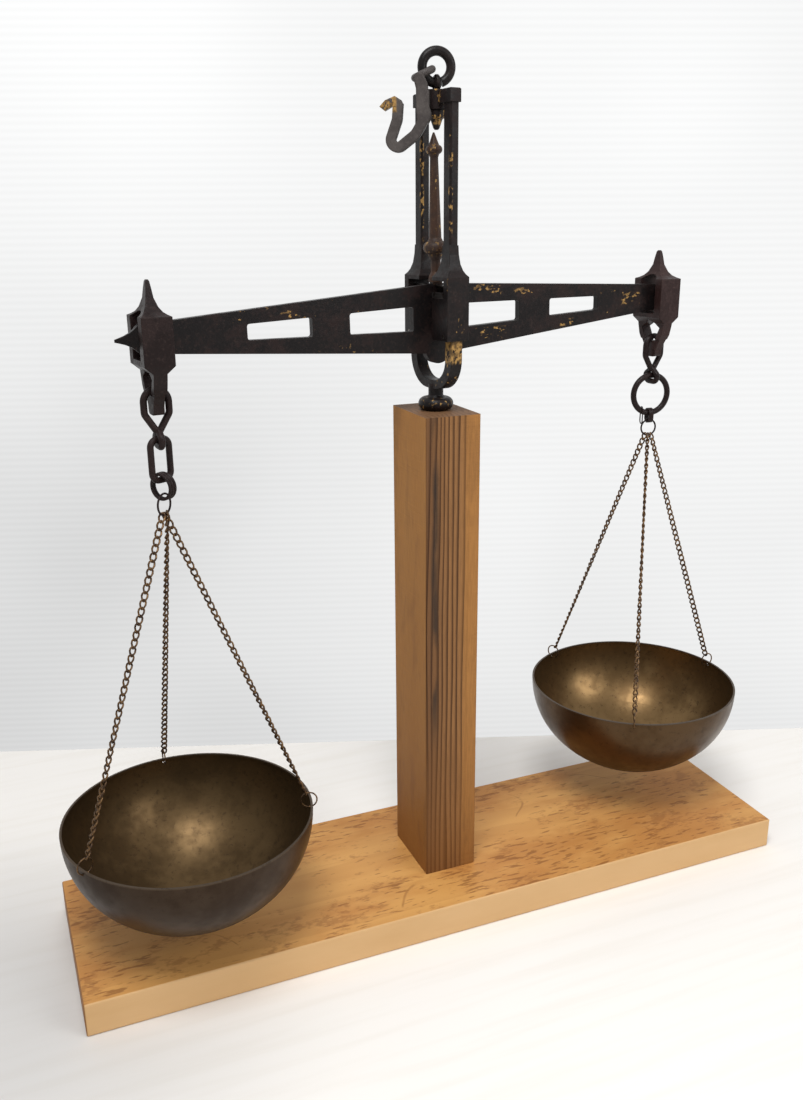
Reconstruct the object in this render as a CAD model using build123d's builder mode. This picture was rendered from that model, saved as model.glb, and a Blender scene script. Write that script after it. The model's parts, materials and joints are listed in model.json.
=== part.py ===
from build123d import *
from math import atan2, ceil, cos, degrees, radians, sin, sqrt
import os

# Equal-arm balance scale: a beam on knife edges between two upright shears, on a wooden post
# and base board, with a hanging bowl at each end on three chains.
# Millimetres. X runs along the base board, Y goes away from the viewer, Z is up.
# The origin is the middle of the base board's underside.

# Stand
board_length = 800
board_depth = 208
board_thickness = 36
board_edge = 1.2
post_width = 59
post_depth = 85
post_height = 510
post_x = 4
post_edge = 1.0
scale_turn = 7  # degrees, the scale stands a little turned on its post

# Fasteners of the stand
screw_spacing = 44
screw_shank = 5
screw_head = 11
screw_length = 70
stud_diameter = 10
stud_in_post = 26
stud_in_knob = 9

# Bow that joins the two shears below the beam
knob_radius = 17.5
knob_height = 13
neck_radius = 7.5
bow_bottom = 22  # above the post
bow_floor = 8.5
bow_arm = 11.5
bow_inset = 15  # inner face of the bow's arm from the cheek's inner face
bow_width = 12
bow_height = 49
bow_bend = 0.82  # bend of its lower corners as a share of its half width
knob_foot = 0.62  # radius of the knob where it stands on the post, as a share
knob_widest = 0.45  # height of its widest place, as a share
neck_flare = 2
tenon_size = 7
tenon_height = 9
pin_diameter = 4

# Shears: the cheeks with their uprights
cheek_room = 8.25  # from the beam to each cheek
cheek_depth = 28.5
cheek_width = 24
cheek_outer_wall = 7.5
fulcrum_rise = 44  # fulcrum above the foot of the cheeks
window_rise = 11.7  # top of the cheek's window above the fulcrum
cheek_rise = 15.3  # top of the cheek's straight sides above the fulcrum
roof_rise = 44  # top of its hollow roof above the fulcrum
# steps are pairs: share of the height or length, share of the flare or section
roof_steps = ((0, 1.0), (0.08, 0.72), (0.2, 0.45), (0.4, 0.2), (0.7, 0.05), (1, 0))
upright_width = 9.5
upright_depth = 13
upright_inset = 14  # middle of the upright from the cheek's inner face
upright_chamfer = 1.6

# Bearings and knife edges
bearing_thickness = 4
bearing_lip = 1.2
knife_half_width = 3.6
knife_height = 7
knife_bevel = 1
knife_end_gap = 1
edge_gap = 0.2

# Cap, swivel and ring at the top
cap_rise = 168  # underside of the cap above the fulcrum
cap_thickness = 12
cap_bridge = 8.4
cap_overhang = 1.0
cap_edge = 1
cap_tenon_height = 8
cap_tenon_shoulder = 2
boss_radius = 10.3
boss_drop = 4  # below the cap
boss_rise = 1  # above it
boss_edge = 0.6
eye_wall = 2.5
eye_thickness = 5.5
eye_corner = 1.6
eye_sink = 1.9  # depth of the eye in the boss
eye_room = 2.2
swivel_shank = 6.6
shank_overlap = 1
nut_radius = 8.7
nut_collar = 7
nut_drop = 17
nut_cone_radius = 5.6
nut_tip_radius = 2.8
shank_reach = 11  # below the nut's top
nut_edge = 1.2
ring_mean_radius = 13.6
ring_wire = 8.7
ring_room = 0.75
ring_turn = -10
ring_opening = 7  # degrees left open low on the ring's right
ring_opening_end = -70

# Hanging hook; its outlines are measured from the middle of its eye, to the side and up
hook_turn = -30
hook_offset = (-3.46, -8.74)
hook_bar = 9.4
hook_thickness = 7
hook_eye_room = 0.95
hook_eye_bar = 6.8
hook_eye_place = 205  # degrees round the ring
hook_path = (
    (0.4, -15.6),
    (0.9, -38.6),
    (-7.5, -52.6),
    (-24.5, -65.1),
    (-31.5, -58.6),
    (-24.5, -39.6),
    (-23.5, -25.6),
)
hook_bends = (14, 16, 6, 6, 10)
hook_stem = (
    (-6.6, -33.0),
    (-6.9, -14.0),
    (-9.2, -5.0),
    (-7.4, -1.4),
    (-4.6, 0.2),
    (-1.0, -0.6),
    (3.4, -9.0),
    (4.2, -19.0),
    (4.9, -28.5),
    (7.0, -34.0),
    (7.0, -38.0),
    (4.6, -43.0),
    (-5.6, -43.0),
)
hook_beak = (
    (-18.9, -27.1),
    (-20.6, -23.1),
    (-26.5, -19.6),
    (-35.5, -23.1),
    (-40.7, -28.4),
    (-36.0, -32.0),
    (-28.2, -27.8),
)

# Beam
arm_length = 285
beam_thickness = 7.5
beam_top = 8.5  # above the fulcrum edge, at the middle
beam_bottom = 59.1  # below it
top_slope = 0.060
bottom_slope = 0.086
arm_overhang = 11  # beam's full depth goes on beyond the end knife edge
tip_length = 20.5
tip_steps = ((0, 1.0), (0.15, 0.74), (0.34, 0.5), (0.6, 0.3), (0.85, 0.17), (1, 0.1))
end_edge_drop = 15
lobe_radius = 15
lobe_bottom = 68.6
windows = ((28, 96.7), (134.9, 198.9))
window_top_drop = 11.5
window_top_slope = 0.0215
window_bottom_drop = 36.6
window_bottom_slope = 0.033
window_corner = 2.5
rest_tilt = 1.2  # degrees, left end down

# Pointer: a turned needle with two beads
foot_half_width = 5
foot_depth = 1.5
foot_height = 5.5
pointer_gap = 2.2  # to the nut above it
pointer_base = 7.2
pointer_waist = 4.9
base_height = 14
low_bead_radius = 11.8
low_bead_height = 41.5
low_bead_half = 6
bead_neck = 0.63  # radius of a bead's two ends, as a share
needle_low = 6.0
needle_high = 3.9
needle_step = 3
high_bead_radius = 8.0
high_bead_drop = 15  # middle of the upper bead below the tip
high_bead_half = 4
tip_radius = 4.2
tip_point = 0.8

# Shackles
plate_half_width = 13.5
plate_thickness = 10
plate_gap = 7.75  # from the beam to each plate
plate_top = 12.5
plate_bottom = 28.5
spire_height = 42.3
spire_steps = (
    (0, 1),
    (0.05, 0.80),
    (0.12, 0.61),
    (0.25, 0.43),
    (0.5, 0.25),
    (0.75, 0.185),
    (0.95, 0.12),
    (1, 0.07),
)
arch_rise = 4.5
web_top = 24
shoulder = 35
shoulder_step = 1
shackle_leg = 6
leg_steps = ((0.08, 0.93), (0.35, 0.81), (0.61, 0.526), (0.78, 0.395), (1, 0.372))  # share of drop, of width
leg_corner = 4
eyelet_peak = 4  # peak of the pointed eyelet above the shoulder
eyelet_half_width = 14
eyelet_widest = 5  # below the shoulder
seat_half_width = 5.5
seat_corner = 2
bar_half_width = 4.75
bar_top = 54.8
bar_bottom = 72
pocket_depth = 6.5
pocket_room = 2.4
pocket_below = 3
pocket_height = 6

# Links
hang_gap = 0.3
twist_wire = 6.2
twist_length = 56.5
twist_upper_width = 28.5
twist_lower_width = 24
twist_crossing = 36.6  # below the loop's top wire centre
twist_taper = 0.42  # share of a loop's reach that is drawn in
twist_waist = 1.4
twist_overlap = 0.3
oval_wire = 5.9
oval_width = 26
oval_length = 42.5
oval_turn = 28
oval_bend = 7
coil_wire = 2.8
coil_diameter = 25.8
coil_pitch = 3.25
coil_turns = 2.5
coil_turn = 38
coil_seat = 0.8  # rise of the coil over the lowest place of the oval link
big_ring_wire = 6.5
big_ring_diameter = 49.2
big_ring_turn = -5
strap_width = 5.5
strap_thickness = 1.8
strap_height = 17
strap_depth = 11.2
loop_wire = 1.3
loop_width = 9.5
loop_length = 20.5
loop_bend = 4
loop_place = 235  # degrees round the big ring
loop_turn = 78  # degrees from the big ring's plane
chain_ring_wire = 1.9
left_ring_diameter = 21.5
left_ring_turn = 46
right_ring_diameter = 20.0
right_ring_turn = -5

# Chains
link_wire = 1.7
link_width = 7.3
link_pitch = 7.8
chain_spacing = 3.7
rim_ring_diameter = 17.5
rim_ring_wire = 1.5

# Bowls
bowl_radius = 122.5
bowl_depth = 110
bowl_wall = 1.2
side_share = 0.91  # radius of the bowl's side over its depth
round_share = 0.95  # highest that the rounded side goes, over the radius; above it the side is upright
rim_lip = 1.0
rim_height = 2.4
bowl_clearance = 24.6  # left bowl above the board
hole_margin = 0.6
hole_room = 0.65
drill_reach = 6
left_anchors = (-152, 91.4, -13.2)
right_anchors = (113.8, 3.6, -123.2)

hole_clearance = 0.1
up = Vector(0, 0, 1)


def heading(turn):
    """Level direction at an angle from the board's length."""
    return Vector(cos(radians(turn)), sin(radians(turn)), 0)


def upright_frame(origin, turn):
    """Frame with its X axis level at an angle from the board's length and its Z axis up."""
    return Plane(origin=origin, x_dir=heading(turn), z_dir=up)


def level(frame, height):
    """Sketch plane across the frame at a height, looking up."""
    return Plane(origin=frame.from_local_coords(Vector(0, 0, height)), x_dir=frame.x_dir, z_dir=frame.z_dir)


def facing(frame, depth=0, height=0):
    """Sketch plane seen from the front: x along the frame, y up, normal to the viewer."""
    origin = frame.from_local_coords(Vector(0, depth, height))
    return Plane(origin=origin, x_dir=frame.x_dir, z_dir=frame.y_dir * -1)


def endwise(frame, along=0, height=0):
    """Sketch plane seen from the end: x goes back, y up, normal along the frame."""
    origin = frame.from_local_coords(Vector(along, 0, height))
    return Plane(origin=origin, x_dir=frame.y_dir, z_dir=frame.x_dir)


def finish(part, name):
    """Name a piece and write it as a STEP file."""
    part.label = name
    export_step(part, f"parts/{name}.step")


def seat_depth(inner_radius, half_width):
    """How far a round seat rises over its lowest point at a distance to the side."""
    return inner_radius - sqrt(inner_radius**2 - half_width**2)


os.makedirs("parts", exist_ok=True)
post_top = board_thickness + post_height
bow_foot = post_top + bow_bottom
cheek_foot = bow_foot + bow_height
fulcrum_height = cheek_foot + fulcrum_rise
cheek_top = fulcrum_height + cheek_rise
window_top = fulcrum_height + window_rise
roof_top = fulcrum_height + roof_rise
cap_bottom = fulcrum_height + cap_rise
cap_top = cap_bottom + cap_thickness
boss_bottom = cap_bottom - boss_drop
boss_top = cap_top + boss_rise
eye_hole = ring_wire / 2 + ring_room
eye_radius = eye_hole + eye_wall
eye_height = boss_top - eye_sink + eye_radius
nut_top = boss_bottom - hang_gap
pointer_length = nut_top - nut_drop - pointer_gap - fulcrum_height
cheek_gap = beam_thickness + 2 * cheek_room
bow_inner = cheek_gap + 2 * bow_inset
upright_centre = cheek_gap / 2 + upright_inset
fulcrum_length = cheek_gap + 2 * (cheek_depth - cheek_outer_wall - knife_end_gap)
arm_end = arm_length + arm_overhang
plate_inner = beam_thickness / 2 + plate_gap
plate_half_depth = plate_inner + plate_thickness
end_knife_length = 2 * (plate_inner + pocket_depth - knife_end_gap)
pocket_half_width = knife_half_width + pocket_room
rim_thickness = bowl_wall + rim_lip
hole_diameter = rim_ring_wire + 2 * hole_room
hole_drop = rim_height + hole_diameter / 2 + hole_margin
scale = upright_frame((post_x, 0, 0), scale_turn)
post_frame = upright_frame((post_x, 0, 0), 0)
vertical = Axis((post_x, 0, 0), (0, 0, 1))
fulcrum = Vector(post_x, 0, fulcrum_height)
beam_x = scale.x_dir * cos(radians(rest_tilt)) + up * sin(radians(rest_tilt))
beam_z = up * cos(radians(rest_tilt)) - scale.x_dir * sin(radians(rest_tilt))
beam_frame = Plane(origin=fulcrum, x_dir=beam_x, z_dir=beam_z)
ring_frame = upright_frame((post_x, 0, 0), ring_turn)
cheek_middle = (cheek_gap + cheek_depth) / 2
arm_middle = (bow_inner + bow_arm) / 2
bearing_depth = cheek_depth - cheek_outer_wall - hang_gap
left_end_height = beam_frame.from_local_coords(Vector(-arm_length, 0, -end_edge_drop)).Z
rim_drop = left_end_height - board_thickness - bowl_clearance - bowl_depth


def make_board():
    with BuildPart() as base_board:
        with BuildSketch():
            Rectangle(board_length, board_depth)
        extrude(amount=board_thickness)
        chamfer(base_board.edges(), board_edge)
        with BuildSketch(level(post_frame, 0)):
            with GridLocations(1, screw_spacing, 1, 2):
                Circle(screw_shank / 2 + hole_clearance)
        extrude(amount=board_thickness, mode=Mode.SUBTRACT)
        with BuildSketch(level(post_frame, 0)):
            with GridLocations(1, screw_spacing, 1, 2):
                Circle(screw_head / 2 + hole_clearance)
        extrude(amount=screw_head / 2 + hole_clearance, taper=45, mode=Mode.SUBTRACT)
    finish(base_board.part, "base_board")


def make_post():
    with BuildPart() as post:
        with BuildSketch(level(post_frame, board_thickness)):
            Rectangle(post_width, post_depth)
        extrude(amount=post_height)
        chamfer(post.edges().filter_by(Axis.Z), post_edge)
        with BuildSketch(level(post_frame, board_thickness)):
            with GridLocations(1, screw_spacing, 1, 2):
                Circle(screw_shank / 2 + hole_clearance)
        extrude(amount=screw_length - board_thickness + hole_clearance, mode=Mode.SUBTRACT)
        with BuildSketch(level(post_frame, post_top)):
            Circle(stud_diameter / 2 + hole_clearance)
        extrude(amount=-stud_in_post - hole_clearance, mode=Mode.SUBTRACT)
    finish(post.part, "post")


def make_stand_fasteners():
    with BuildPart() as post_screws:
        with BuildSketch(level(post_frame, 0)):
            with GridLocations(1, screw_spacing, 1, 2):
                Circle(screw_shank / 2)
        extrude(amount=screw_length)
        with BuildSketch(level(post_frame, 0)):
            with GridLocations(1, screw_spacing, 1, 2):
                Circle(screw_head / 2)
        extrude(amount=screw_head / 2, taper=45)
    finish(post_screws.part, "post_screws")

    with BuildPart() as mounting_stud:
        with BuildSketch(level(post_frame, post_top - stud_in_post)):
            Circle(stud_diameter / 2)
        extrude(amount=stud_in_post + stud_in_knob)
        chamfer(mounting_stud.edges().filter_by(GeomType.CIRCLE), 1)
    finish(mounting_stud.part, "mounting_stud")


def make_bow():
    arm_top = cheek_foot
    bottom = bow_foot
    outer = bow_inner / 2 + bow_arm
    inner = bow_inner / 2
    floor = bottom + bow_floor
    knob_top = post_top + knob_height
    with BuildPart() as shears_bow:
        with BuildSketch(endwise(scale, -bow_width / 2)) as outline:
            with BuildLine():
                Polyline((-outer, arm_top), (-outer, bottom), (outer, bottom), (outer, arm_top), close=True)
            make_face()
            fillet(outline.vertices().group_by(Axis.Y)[0], outer * bow_bend)
            with BuildSketch(mode=Mode.PRIVATE) as hollow:
                with BuildLine():
                    Polyline((-inner, arm_top), (-inner, floor), (inner, floor), (inner, arm_top), close=True)
                make_face()
                fillet(hollow.vertices().group_by(Axis.Y)[0], inner * bow_bend)
            add(hollow.sketch, mode=Mode.SUBTRACT)
        extrude(amount=bow_width)
        for side in (-1, 1):
            with BuildSketch(level(scale, arm_top)):
                with Locations((0, side * arm_middle)):
                    Rectangle(tenon_size, tenon_size)
            extrude(amount=tenon_height)
        with BuildSketch(endwise(scale)):
            with BuildLine():
                Line((0, post_top), (knob_radius * knob_foot, post_top))
                ThreePointArc(
                    (knob_radius * knob_foot, post_top),
                    (knob_radius, post_top + knob_height * knob_widest),
                    (neck_radius + neck_flare, knob_top),
                )
                Line((neck_radius + neck_flare, knob_top), (neck_radius, knob_top + neck_flare))
                Line((neck_radius, knob_top + neck_flare), (neck_radius, bottom + bow_floor / 2))
                Line((neck_radius, bottom + bow_floor / 2), (0, bottom + bow_floor / 2))
                Line((0, bottom + bow_floor / 2), (0, post_top))
            make_face()
        revolve(axis=vertical)
        with BuildSketch(level(scale, post_top)):
            Circle(stud_diameter / 2 + hole_clearance)
        extrude(amount=stud_in_knob + hole_clearance, mode=Mode.SUBTRACT)
        for side in (-1, 1):
            with BuildSketch(endwise(scale, -cheek_width / 2)):
                with Locations((side * arm_middle, arm_top + tenon_height / 2)):
                    Circle(pin_diameter / 2 + hole_clearance)
            extrude(amount=cheek_width, mode=Mode.SUBTRACT)
    finish(shears_bow.part, "shears_bow")


def make_shear(side, name):
    """One cheek with its upright, on the front (-1) or back (+1) side of the beam."""
    middle = side * cheek_middle
    centre = side * upright_centre
    window_depth = cheek_depth - cheek_outer_wall
    window_middle = side * (cheek_gap + window_depth) / 2
    window_bottom = fulcrum_height - bearing_thickness
    with BuildPart() as shear:
        with BuildSketch(level(scale, cheek_foot)):
            with Locations((0, middle)):
                Rectangle(cheek_width, cheek_depth)
        extrude(amount=cheek_top - cheek_foot)
        for rise, share in roof_steps:
            half_width = upright_width + (cheek_width - upright_width) * share
            half_depth = upright_depth + (cheek_depth - upright_depth) * share
            with BuildSketch(level(scale, cheek_top + rise * (roof_top - cheek_top))):
                with Locations((0, centre + (middle - centre) * share)):
                    Rectangle(half_width, half_depth)
        loft(ruled=True)
        with BuildSketch(level(scale, roof_top)) as section:
            with Locations((0, centre)):
                Rectangle(upright_width, upright_depth)
            chamfer(section.vertices(), upright_chamfer)
        extrude(amount=cap_bottom - roof_top)
        with BuildSketch(level(scale, cap_bottom)):
            with Locations((0, centre)):
                Rectangle(upright_width - 2 * cap_tenon_shoulder, upright_depth - 2 * cap_tenon_shoulder)
        extrude(amount=cap_tenon_height)
        with BuildSketch(endwise(scale, -cheek_width / 2)):
            with Locations((window_middle, (window_bottom + window_top) / 2)):
                Rectangle(window_depth, window_top - window_bottom)
        extrude(amount=cheek_width, mode=Mode.SUBTRACT)
        with BuildSketch(level(scale, cheek_foot)):
            with Locations((0, side * arm_middle)):
                Rectangle(tenon_size + 2 * hole_clearance, tenon_size + 2 * hole_clearance)
        extrude(amount=tenon_height + hole_clearance, mode=Mode.SUBTRACT)
        with BuildSketch(endwise(scale, -cheek_width / 2)):
            with Locations((side * arm_middle, cheek_foot + tenon_height / 2)):
                Circle(pin_diameter / 2 + hole_clearance)
        extrude(amount=cheek_width, mode=Mode.SUBTRACT)
    finish(shear.part, name)


def make_cheek_fittings():
    with BuildPart() as bow_pins:
        with BuildSketch(endwise(scale, -cheek_width / 2)):
            for side in (-1, 1):
                with Locations((side * arm_middle, cheek_foot + tenon_height / 2)):
                    Circle(pin_diameter / 2)
        extrude(amount=cheek_width)
    finish(bow_pins.part, "bow_pins")

    with BuildPart() as fulcrum_bearings:
        for side in (-1, 1):
            middle = side * (cheek_gap / 2 + bearing_depth / 2)
            with BuildSketch(facing(scale, middle + bearing_depth / 2)):
                with BuildLine():
                    Polyline(
                        (-cheek_width / 2, fulcrum_height - bearing_thickness),
                        (cheek_width / 2, fulcrum_height - bearing_thickness),
                        (cheek_width / 2, fulcrum_height + bearing_lip),
                        (0, fulcrum_height - edge_gap),
                        (-cheek_width / 2, fulcrum_height + bearing_lip),
                        close=True,
                    )
                make_face()
            extrude(amount=bearing_depth)
    finish(fulcrum_bearings.part, "fulcrum_bearings")


def make_cap():
    mortise_shoulder = cap_tenon_shoulder - hole_clearance
    with BuildPart() as top_cap:
        with BuildSketch(level(scale, cap_bottom)):
            Rectangle(cap_bridge, 2 * upright_centre)
            with Locations((0, -upright_centre), (0, upright_centre)):
                Rectangle(upright_width + 2 * cap_overhang, upright_depth + 2 * cap_overhang)
        extrude(amount=cap_thickness)
        chamfer(top_cap.faces().sort_by(Axis.Z)[-1].edges(), cap_edge)
        with BuildSketch(level(scale, boss_bottom)):
            Circle(boss_radius)
        extrude(amount=boss_top - boss_bottom)
        chamfer(top_cap.faces().sort_by(Axis.Z)[-1].edges(), boss_edge)
        with BuildSketch(level(scale, boss_bottom)):
            Circle(swivel_shank / 2 + 2 * hole_clearance)
        extrude(amount=boss_top - boss_bottom, mode=Mode.SUBTRACT)
        with BuildSketch(level(scale, boss_top)):
            Circle(sqrt(eye_radius**2 - (eye_radius - eye_sink) ** 2) + eye_room)
        extrude(amount=-eye_sink - hang_gap, mode=Mode.SUBTRACT)
        for side in (-1, 1):
            with BuildSketch(level(scale, cap_bottom)):
                with Locations((0, side * upright_centre)):
                    Rectangle(upright_width - 2 * mortise_shoulder, upright_depth - 2 * mortise_shoulder)
            extrude(amount=cap_tenon_height + hole_clearance, mode=Mode.SUBTRACT)
    finish(top_cap.part, "top_cap")


def make_swivel():
    neck = nut_top - nut_collar
    shank_bottom = nut_top - shank_reach
    with BuildPart() as swivel_eye:
        with BuildSketch(endwise(ring_frame, -eye_thickness / 2, eye_height)):
            Circle(eye_radius)
        extrude(amount=eye_thickness)
        chamfer(swivel_eye.edges().filter_by(GeomType.CIRCLE), eye_corner)
        with BuildSketch(level(ring_frame, shank_bottom)):
            Circle(swivel_shank / 2)
        extrude(amount=eye_height - eye_radius + shank_overlap - shank_bottom)
        with BuildSketch(endwise(ring_frame, -eye_thickness / 2, eye_height)):
            Circle(eye_hole)
        extrude(amount=eye_thickness, mode=Mode.SUBTRACT)
    finish(swivel_eye.part, "swivel_eye")

    shank_hole = swivel_shank / 2 + hole_clearance
    nut_bottom = nut_top - nut_drop
    with BuildPart() as pendant_nut:
        with BuildSketch(endwise(ring_frame)):
            with BuildLine():
                Polyline(
                    (shank_hole, nut_top),
                    (nut_radius, nut_top),
                    (nut_radius, neck + nut_edge),
                    (nut_radius - nut_edge, neck),
                    (nut_cone_radius, neck - nut_edge),
                    (nut_tip_radius, nut_bottom + nut_edge),
                    (nut_tip_radius - nut_edge, nut_bottom),
                    (0, nut_bottom),
                    (0, shank_bottom - hole_clearance),
                    (shank_hole, shank_bottom - hole_clearance),
                    close=True,
                )
            make_face()
        revolve(axis=vertical)
    finish(pendant_nut.part, "pendant_nut")


def make_ring():
    centre = eye_height + ring_mean_radius
    ring_axis = Axis((post_x, 0, centre), tuple(ring_frame.y_dir * -1))
    start = radians(ring_opening_end)
    start_point = ring_frame.from_local_coords(
        Vector(ring_mean_radius * cos(start), 0, centre + ring_mean_radius * sin(start))
    )
    along = ring_frame.x_dir * -sin(start) + up * cos(start)
    with BuildPart() as hanging_ring:
        with BuildSketch(Plane(origin=start_point, z_dir=along)):
            Circle(ring_wire / 2)
        revolve(axis=ring_axis, revolution_arc=360 - ring_opening)
    finish(hanging_ring.part, "hanging_ring")


def make_hook():
    place = radians(hook_eye_place)
    out = ring_frame.x_dir * cos(place) + up * sin(place)
    along = ring_frame.x_dir * -sin(place) + up * cos(place)
    eye_centre = ring_frame.from_local_coords(Vector(0, 0, eye_height + ring_mean_radius))
    eye_centre = eye_centre + out * ring_mean_radius
    stem = upright_frame(eye_centre + Vector(*hook_offset), hook_turn)
    hook_eye_mean = (ring_wire + hook_eye_bar) / 2 + hook_eye_room
    with BuildPart() as hanging_hook:
        with BuildSketch(facing(stem, hook_thickness / 2)):
            with BuildLine() as path:
                FilletPolyline(*hook_path, radius=hook_bends)
            trace(path.wires(), hook_bar)
            for outline in (hook_stem, hook_beak):
                with BuildLine():
                    Polyline(*outline, close=True)
                make_face()
        extrude(amount=hook_thickness)
        with BuildSketch(Plane(origin=eye_centre + out * hook_eye_mean, x_dir=out, z_dir=out.cross(along))):
            Circle(hook_eye_bar / 2)
        revolve(axis=Axis(tuple(eye_centre), tuple(along)))
    finish(hanging_hook.part, "hanging_hook")


def knife_points(direction):
    """Corners of a knife edge's section: its edge at the origin, its back up (1) or down (-1)."""
    back = direction * knife_height
    shoulder_height = direction * (knife_height - knife_bevel)
    return (
        (0, 0),
        (knife_half_width, shoulder_height),
        (knife_half_width, back),
        (-knife_half_width, back),
        (-knife_half_width, shoulder_height),
    )


def make_beam():
    with BuildPart() as beam:
        with BuildSketch(facing(beam_frame, beam_thickness / 2)):
            with BuildLine():
                Polyline(
                    (0, beam_top),
                    (arm_end, beam_top - top_slope * arm_end),
                    (arm_end, -beam_bottom + bottom_slope * arm_end),
                    (0, -beam_bottom),
                    (-arm_end, -beam_bottom + bottom_slope * arm_end),
                    (-arm_end, beam_top - top_slope * arm_end),
                    close=True,
                )
            make_face()
            with Locations((0, lobe_radius - lobe_bottom)):
                Circle(lobe_radius)
            for side in (-1, 1):
                for near, far in windows:
                    with BuildSketch(mode=Mode.PRIVATE) as window:
                        with BuildLine():
                            Polyline(
                                (side * near, -window_top_drop - window_top_slope * near),
                                (side * far, -window_top_drop - window_top_slope * far),
                                (side * far, -window_bottom_drop + window_bottom_slope * far),
                                (side * near, -window_bottom_drop + window_bottom_slope * near),
                                close=True,
                            )
                        make_face()
                        fillet(window.vertices(), window_corner)
                    add(window.sketch, mode=Mode.SUBTRACT)
        extrude(amount=beam_thickness)
        end_top = beam_top - top_slope * arm_end
        end_bottom = -beam_bottom + bottom_slope * arm_end
        tip_height = (end_top + end_bottom) / 2
        for side in (-1, 1):
            for step, share in tip_steps:
                with BuildSketch(endwise(beam_frame, side * (arm_end + step * tip_length))):
                    with Locations((0, tip_height)):
                        Rectangle(beam_thickness * share, (end_top - end_bottom) * share)
            loft(ruled=True)
        with BuildSketch(facing(beam_frame, beam_thickness / 2)):
            with Locations((0, beam_top)):
                Rectangle(2 * foot_half_width, 2 * foot_depth)
        extrude(amount=beam_thickness, mode=Mode.SUBTRACT)
        for frame, direction in ((beam_frame, 1), (end_frame(-1), -1), (end_frame(1), -1)):
            with BuildSketch(facing(frame, beam_thickness / 2)):
                with BuildLine():
                    Polyline(*knife_points(direction), close=True)
                make_face()
            extrude(amount=beam_thickness, mode=Mode.SUBTRACT)
    finish(beam.part, "beam")


def end_frame(side):
    """Frame of the beam with its origin on an end knife edge."""
    origin = beam_frame.from_local_coords(Vector(side * arm_length, 0, -end_edge_drop))
    return Plane(origin=origin, x_dir=beam_frame.x_dir, z_dir=beam_frame.z_dir)


def make_knife(frame, length, direction, name):
    with BuildPart() as knife:
        with BuildSketch(facing(frame, length / 2)):
            with BuildLine():
                Polyline(*knife_points(direction), close=True)
            make_face()
        extrude(amount=length)
    finish(knife.part, name)


def bead_points(radius, height, half):
    """Lower end, widest place and upper end of a bead's rounded side."""
    neck = radius * bead_neck
    return (neck, height - half), (radius, height), (neck, height + half)


def make_pointer():
    foot = beam_top - foot_depth
    base = foot + foot_height / 2
    high_bead_height = pointer_length - high_bead_drop
    low_bead = bead_points(low_bead_radius, low_bead_height, low_bead_half)
    high_bead = bead_points(high_bead_radius, high_bead_height, high_bead_half)
    with BuildPart() as pointer:
        with BuildSketch(level(beam_frame, foot)):
            Rectangle(2 * foot_half_width, beam_thickness)
        extrude(amount=foot_height)
        with BuildSketch(endwise(beam_frame)):
            with BuildLine():
                Polyline(
                    (0, base),
                    (pointer_base, base),
                    (pointer_base, base_height),
                    (pointer_waist, base_height + pointer_waist),
                    (pointer_waist, low_bead_height - 2 * low_bead_half),
                    low_bead[0],
                )
                ThreePointArc(*low_bead)
                Polyline(
                    low_bead[2],
                    (needle_low, low_bead_height + low_bead_half + needle_step),
                    (needle_high, high_bead_height - high_bead_half - needle_step),
                    high_bead[0],
                )
                ThreePointArc(*high_bead)
                Polyline(
                    high_bead[2],
                    (tip_radius, high_bead_height + 1.5 * high_bead_half),
                    (tip_point, pointer_length),
                    (0, pointer_length),
                    (0, base),
                )
            make_face()
        revolve(axis=Axis(tuple(fulcrum), tuple(beam_frame.z_dir)))
    finish(pointer.part, "pointer")


def bent_loop(frame, width, top, bottom, wire, bend):
    """Closed wire loop facing the front of its frame: outer width, outer top and bottom heights."""
    half = (width - wire) / 2
    high = top - wire / 2
    low = bottom + wire / 2
    with BuildPart() as loop:
        with BuildLine(facing(frame)) as path:
            Line((0, high), (half - bend, high))
            JernArc((half - bend, high), (1, 0), bend, -90)
            Line((half, high - bend), (half, low + bend))
            JernArc((half, low + bend), (0, -1), bend, -90)
            Line((half - bend, low), (bend - half, low))
            JernArc((bend - half, low), (-1, 0), bend, -90)
            Line((-half, low + bend), (-half, high - bend))
            JernArc((-half, high - bend), (0, 1), bend, -90)
            Line((bend - half, high), (0, high))
        with BuildSketch(Plane(origin=path.line @ 0, z_dir=path.line % 0)):
            Circle(wire / 2)
        sweep(path=path.wires()[0])
    return loop.part


def teardrop(frame, width, round_end, point, direction):
    """Half of the figure-eight link: round at one end, drawn to the crossing at the other."""
    half = (width - twist_wire) / 2
    end = round_end - direction * twist_wire / 2
    reach = abs(end - point)
    bend = min(half - 0.01, twist_taper * reach)
    drawn_in = point + direction * reach * twist_taper
    waist = point - direction * twist_overlap
    corners = (
        (-half, end),
        (half, end),
        (half, drawn_in),
        (twist_waist, waist),
        (-twist_waist, waist),
        (-half, drawn_in),
    )
    with BuildPart() as loop:
        with BuildLine(facing(frame)) as path:
            FilletPolyline(*corners, radius=(bend, bend, bend * 0.6, 1, 1, bend * 0.6), close=True)
        with BuildSketch(Plane(origin=path.line @ 0, z_dir=path.line % 0)):
            Circle(twist_wire / 2)
        sweep(path=path.wires()[0])
    return loop.part


def mirrored(points):
    """The same points on the other side, in reverse order."""
    return [(-across, height) for across, height in reversed(points)]


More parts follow.
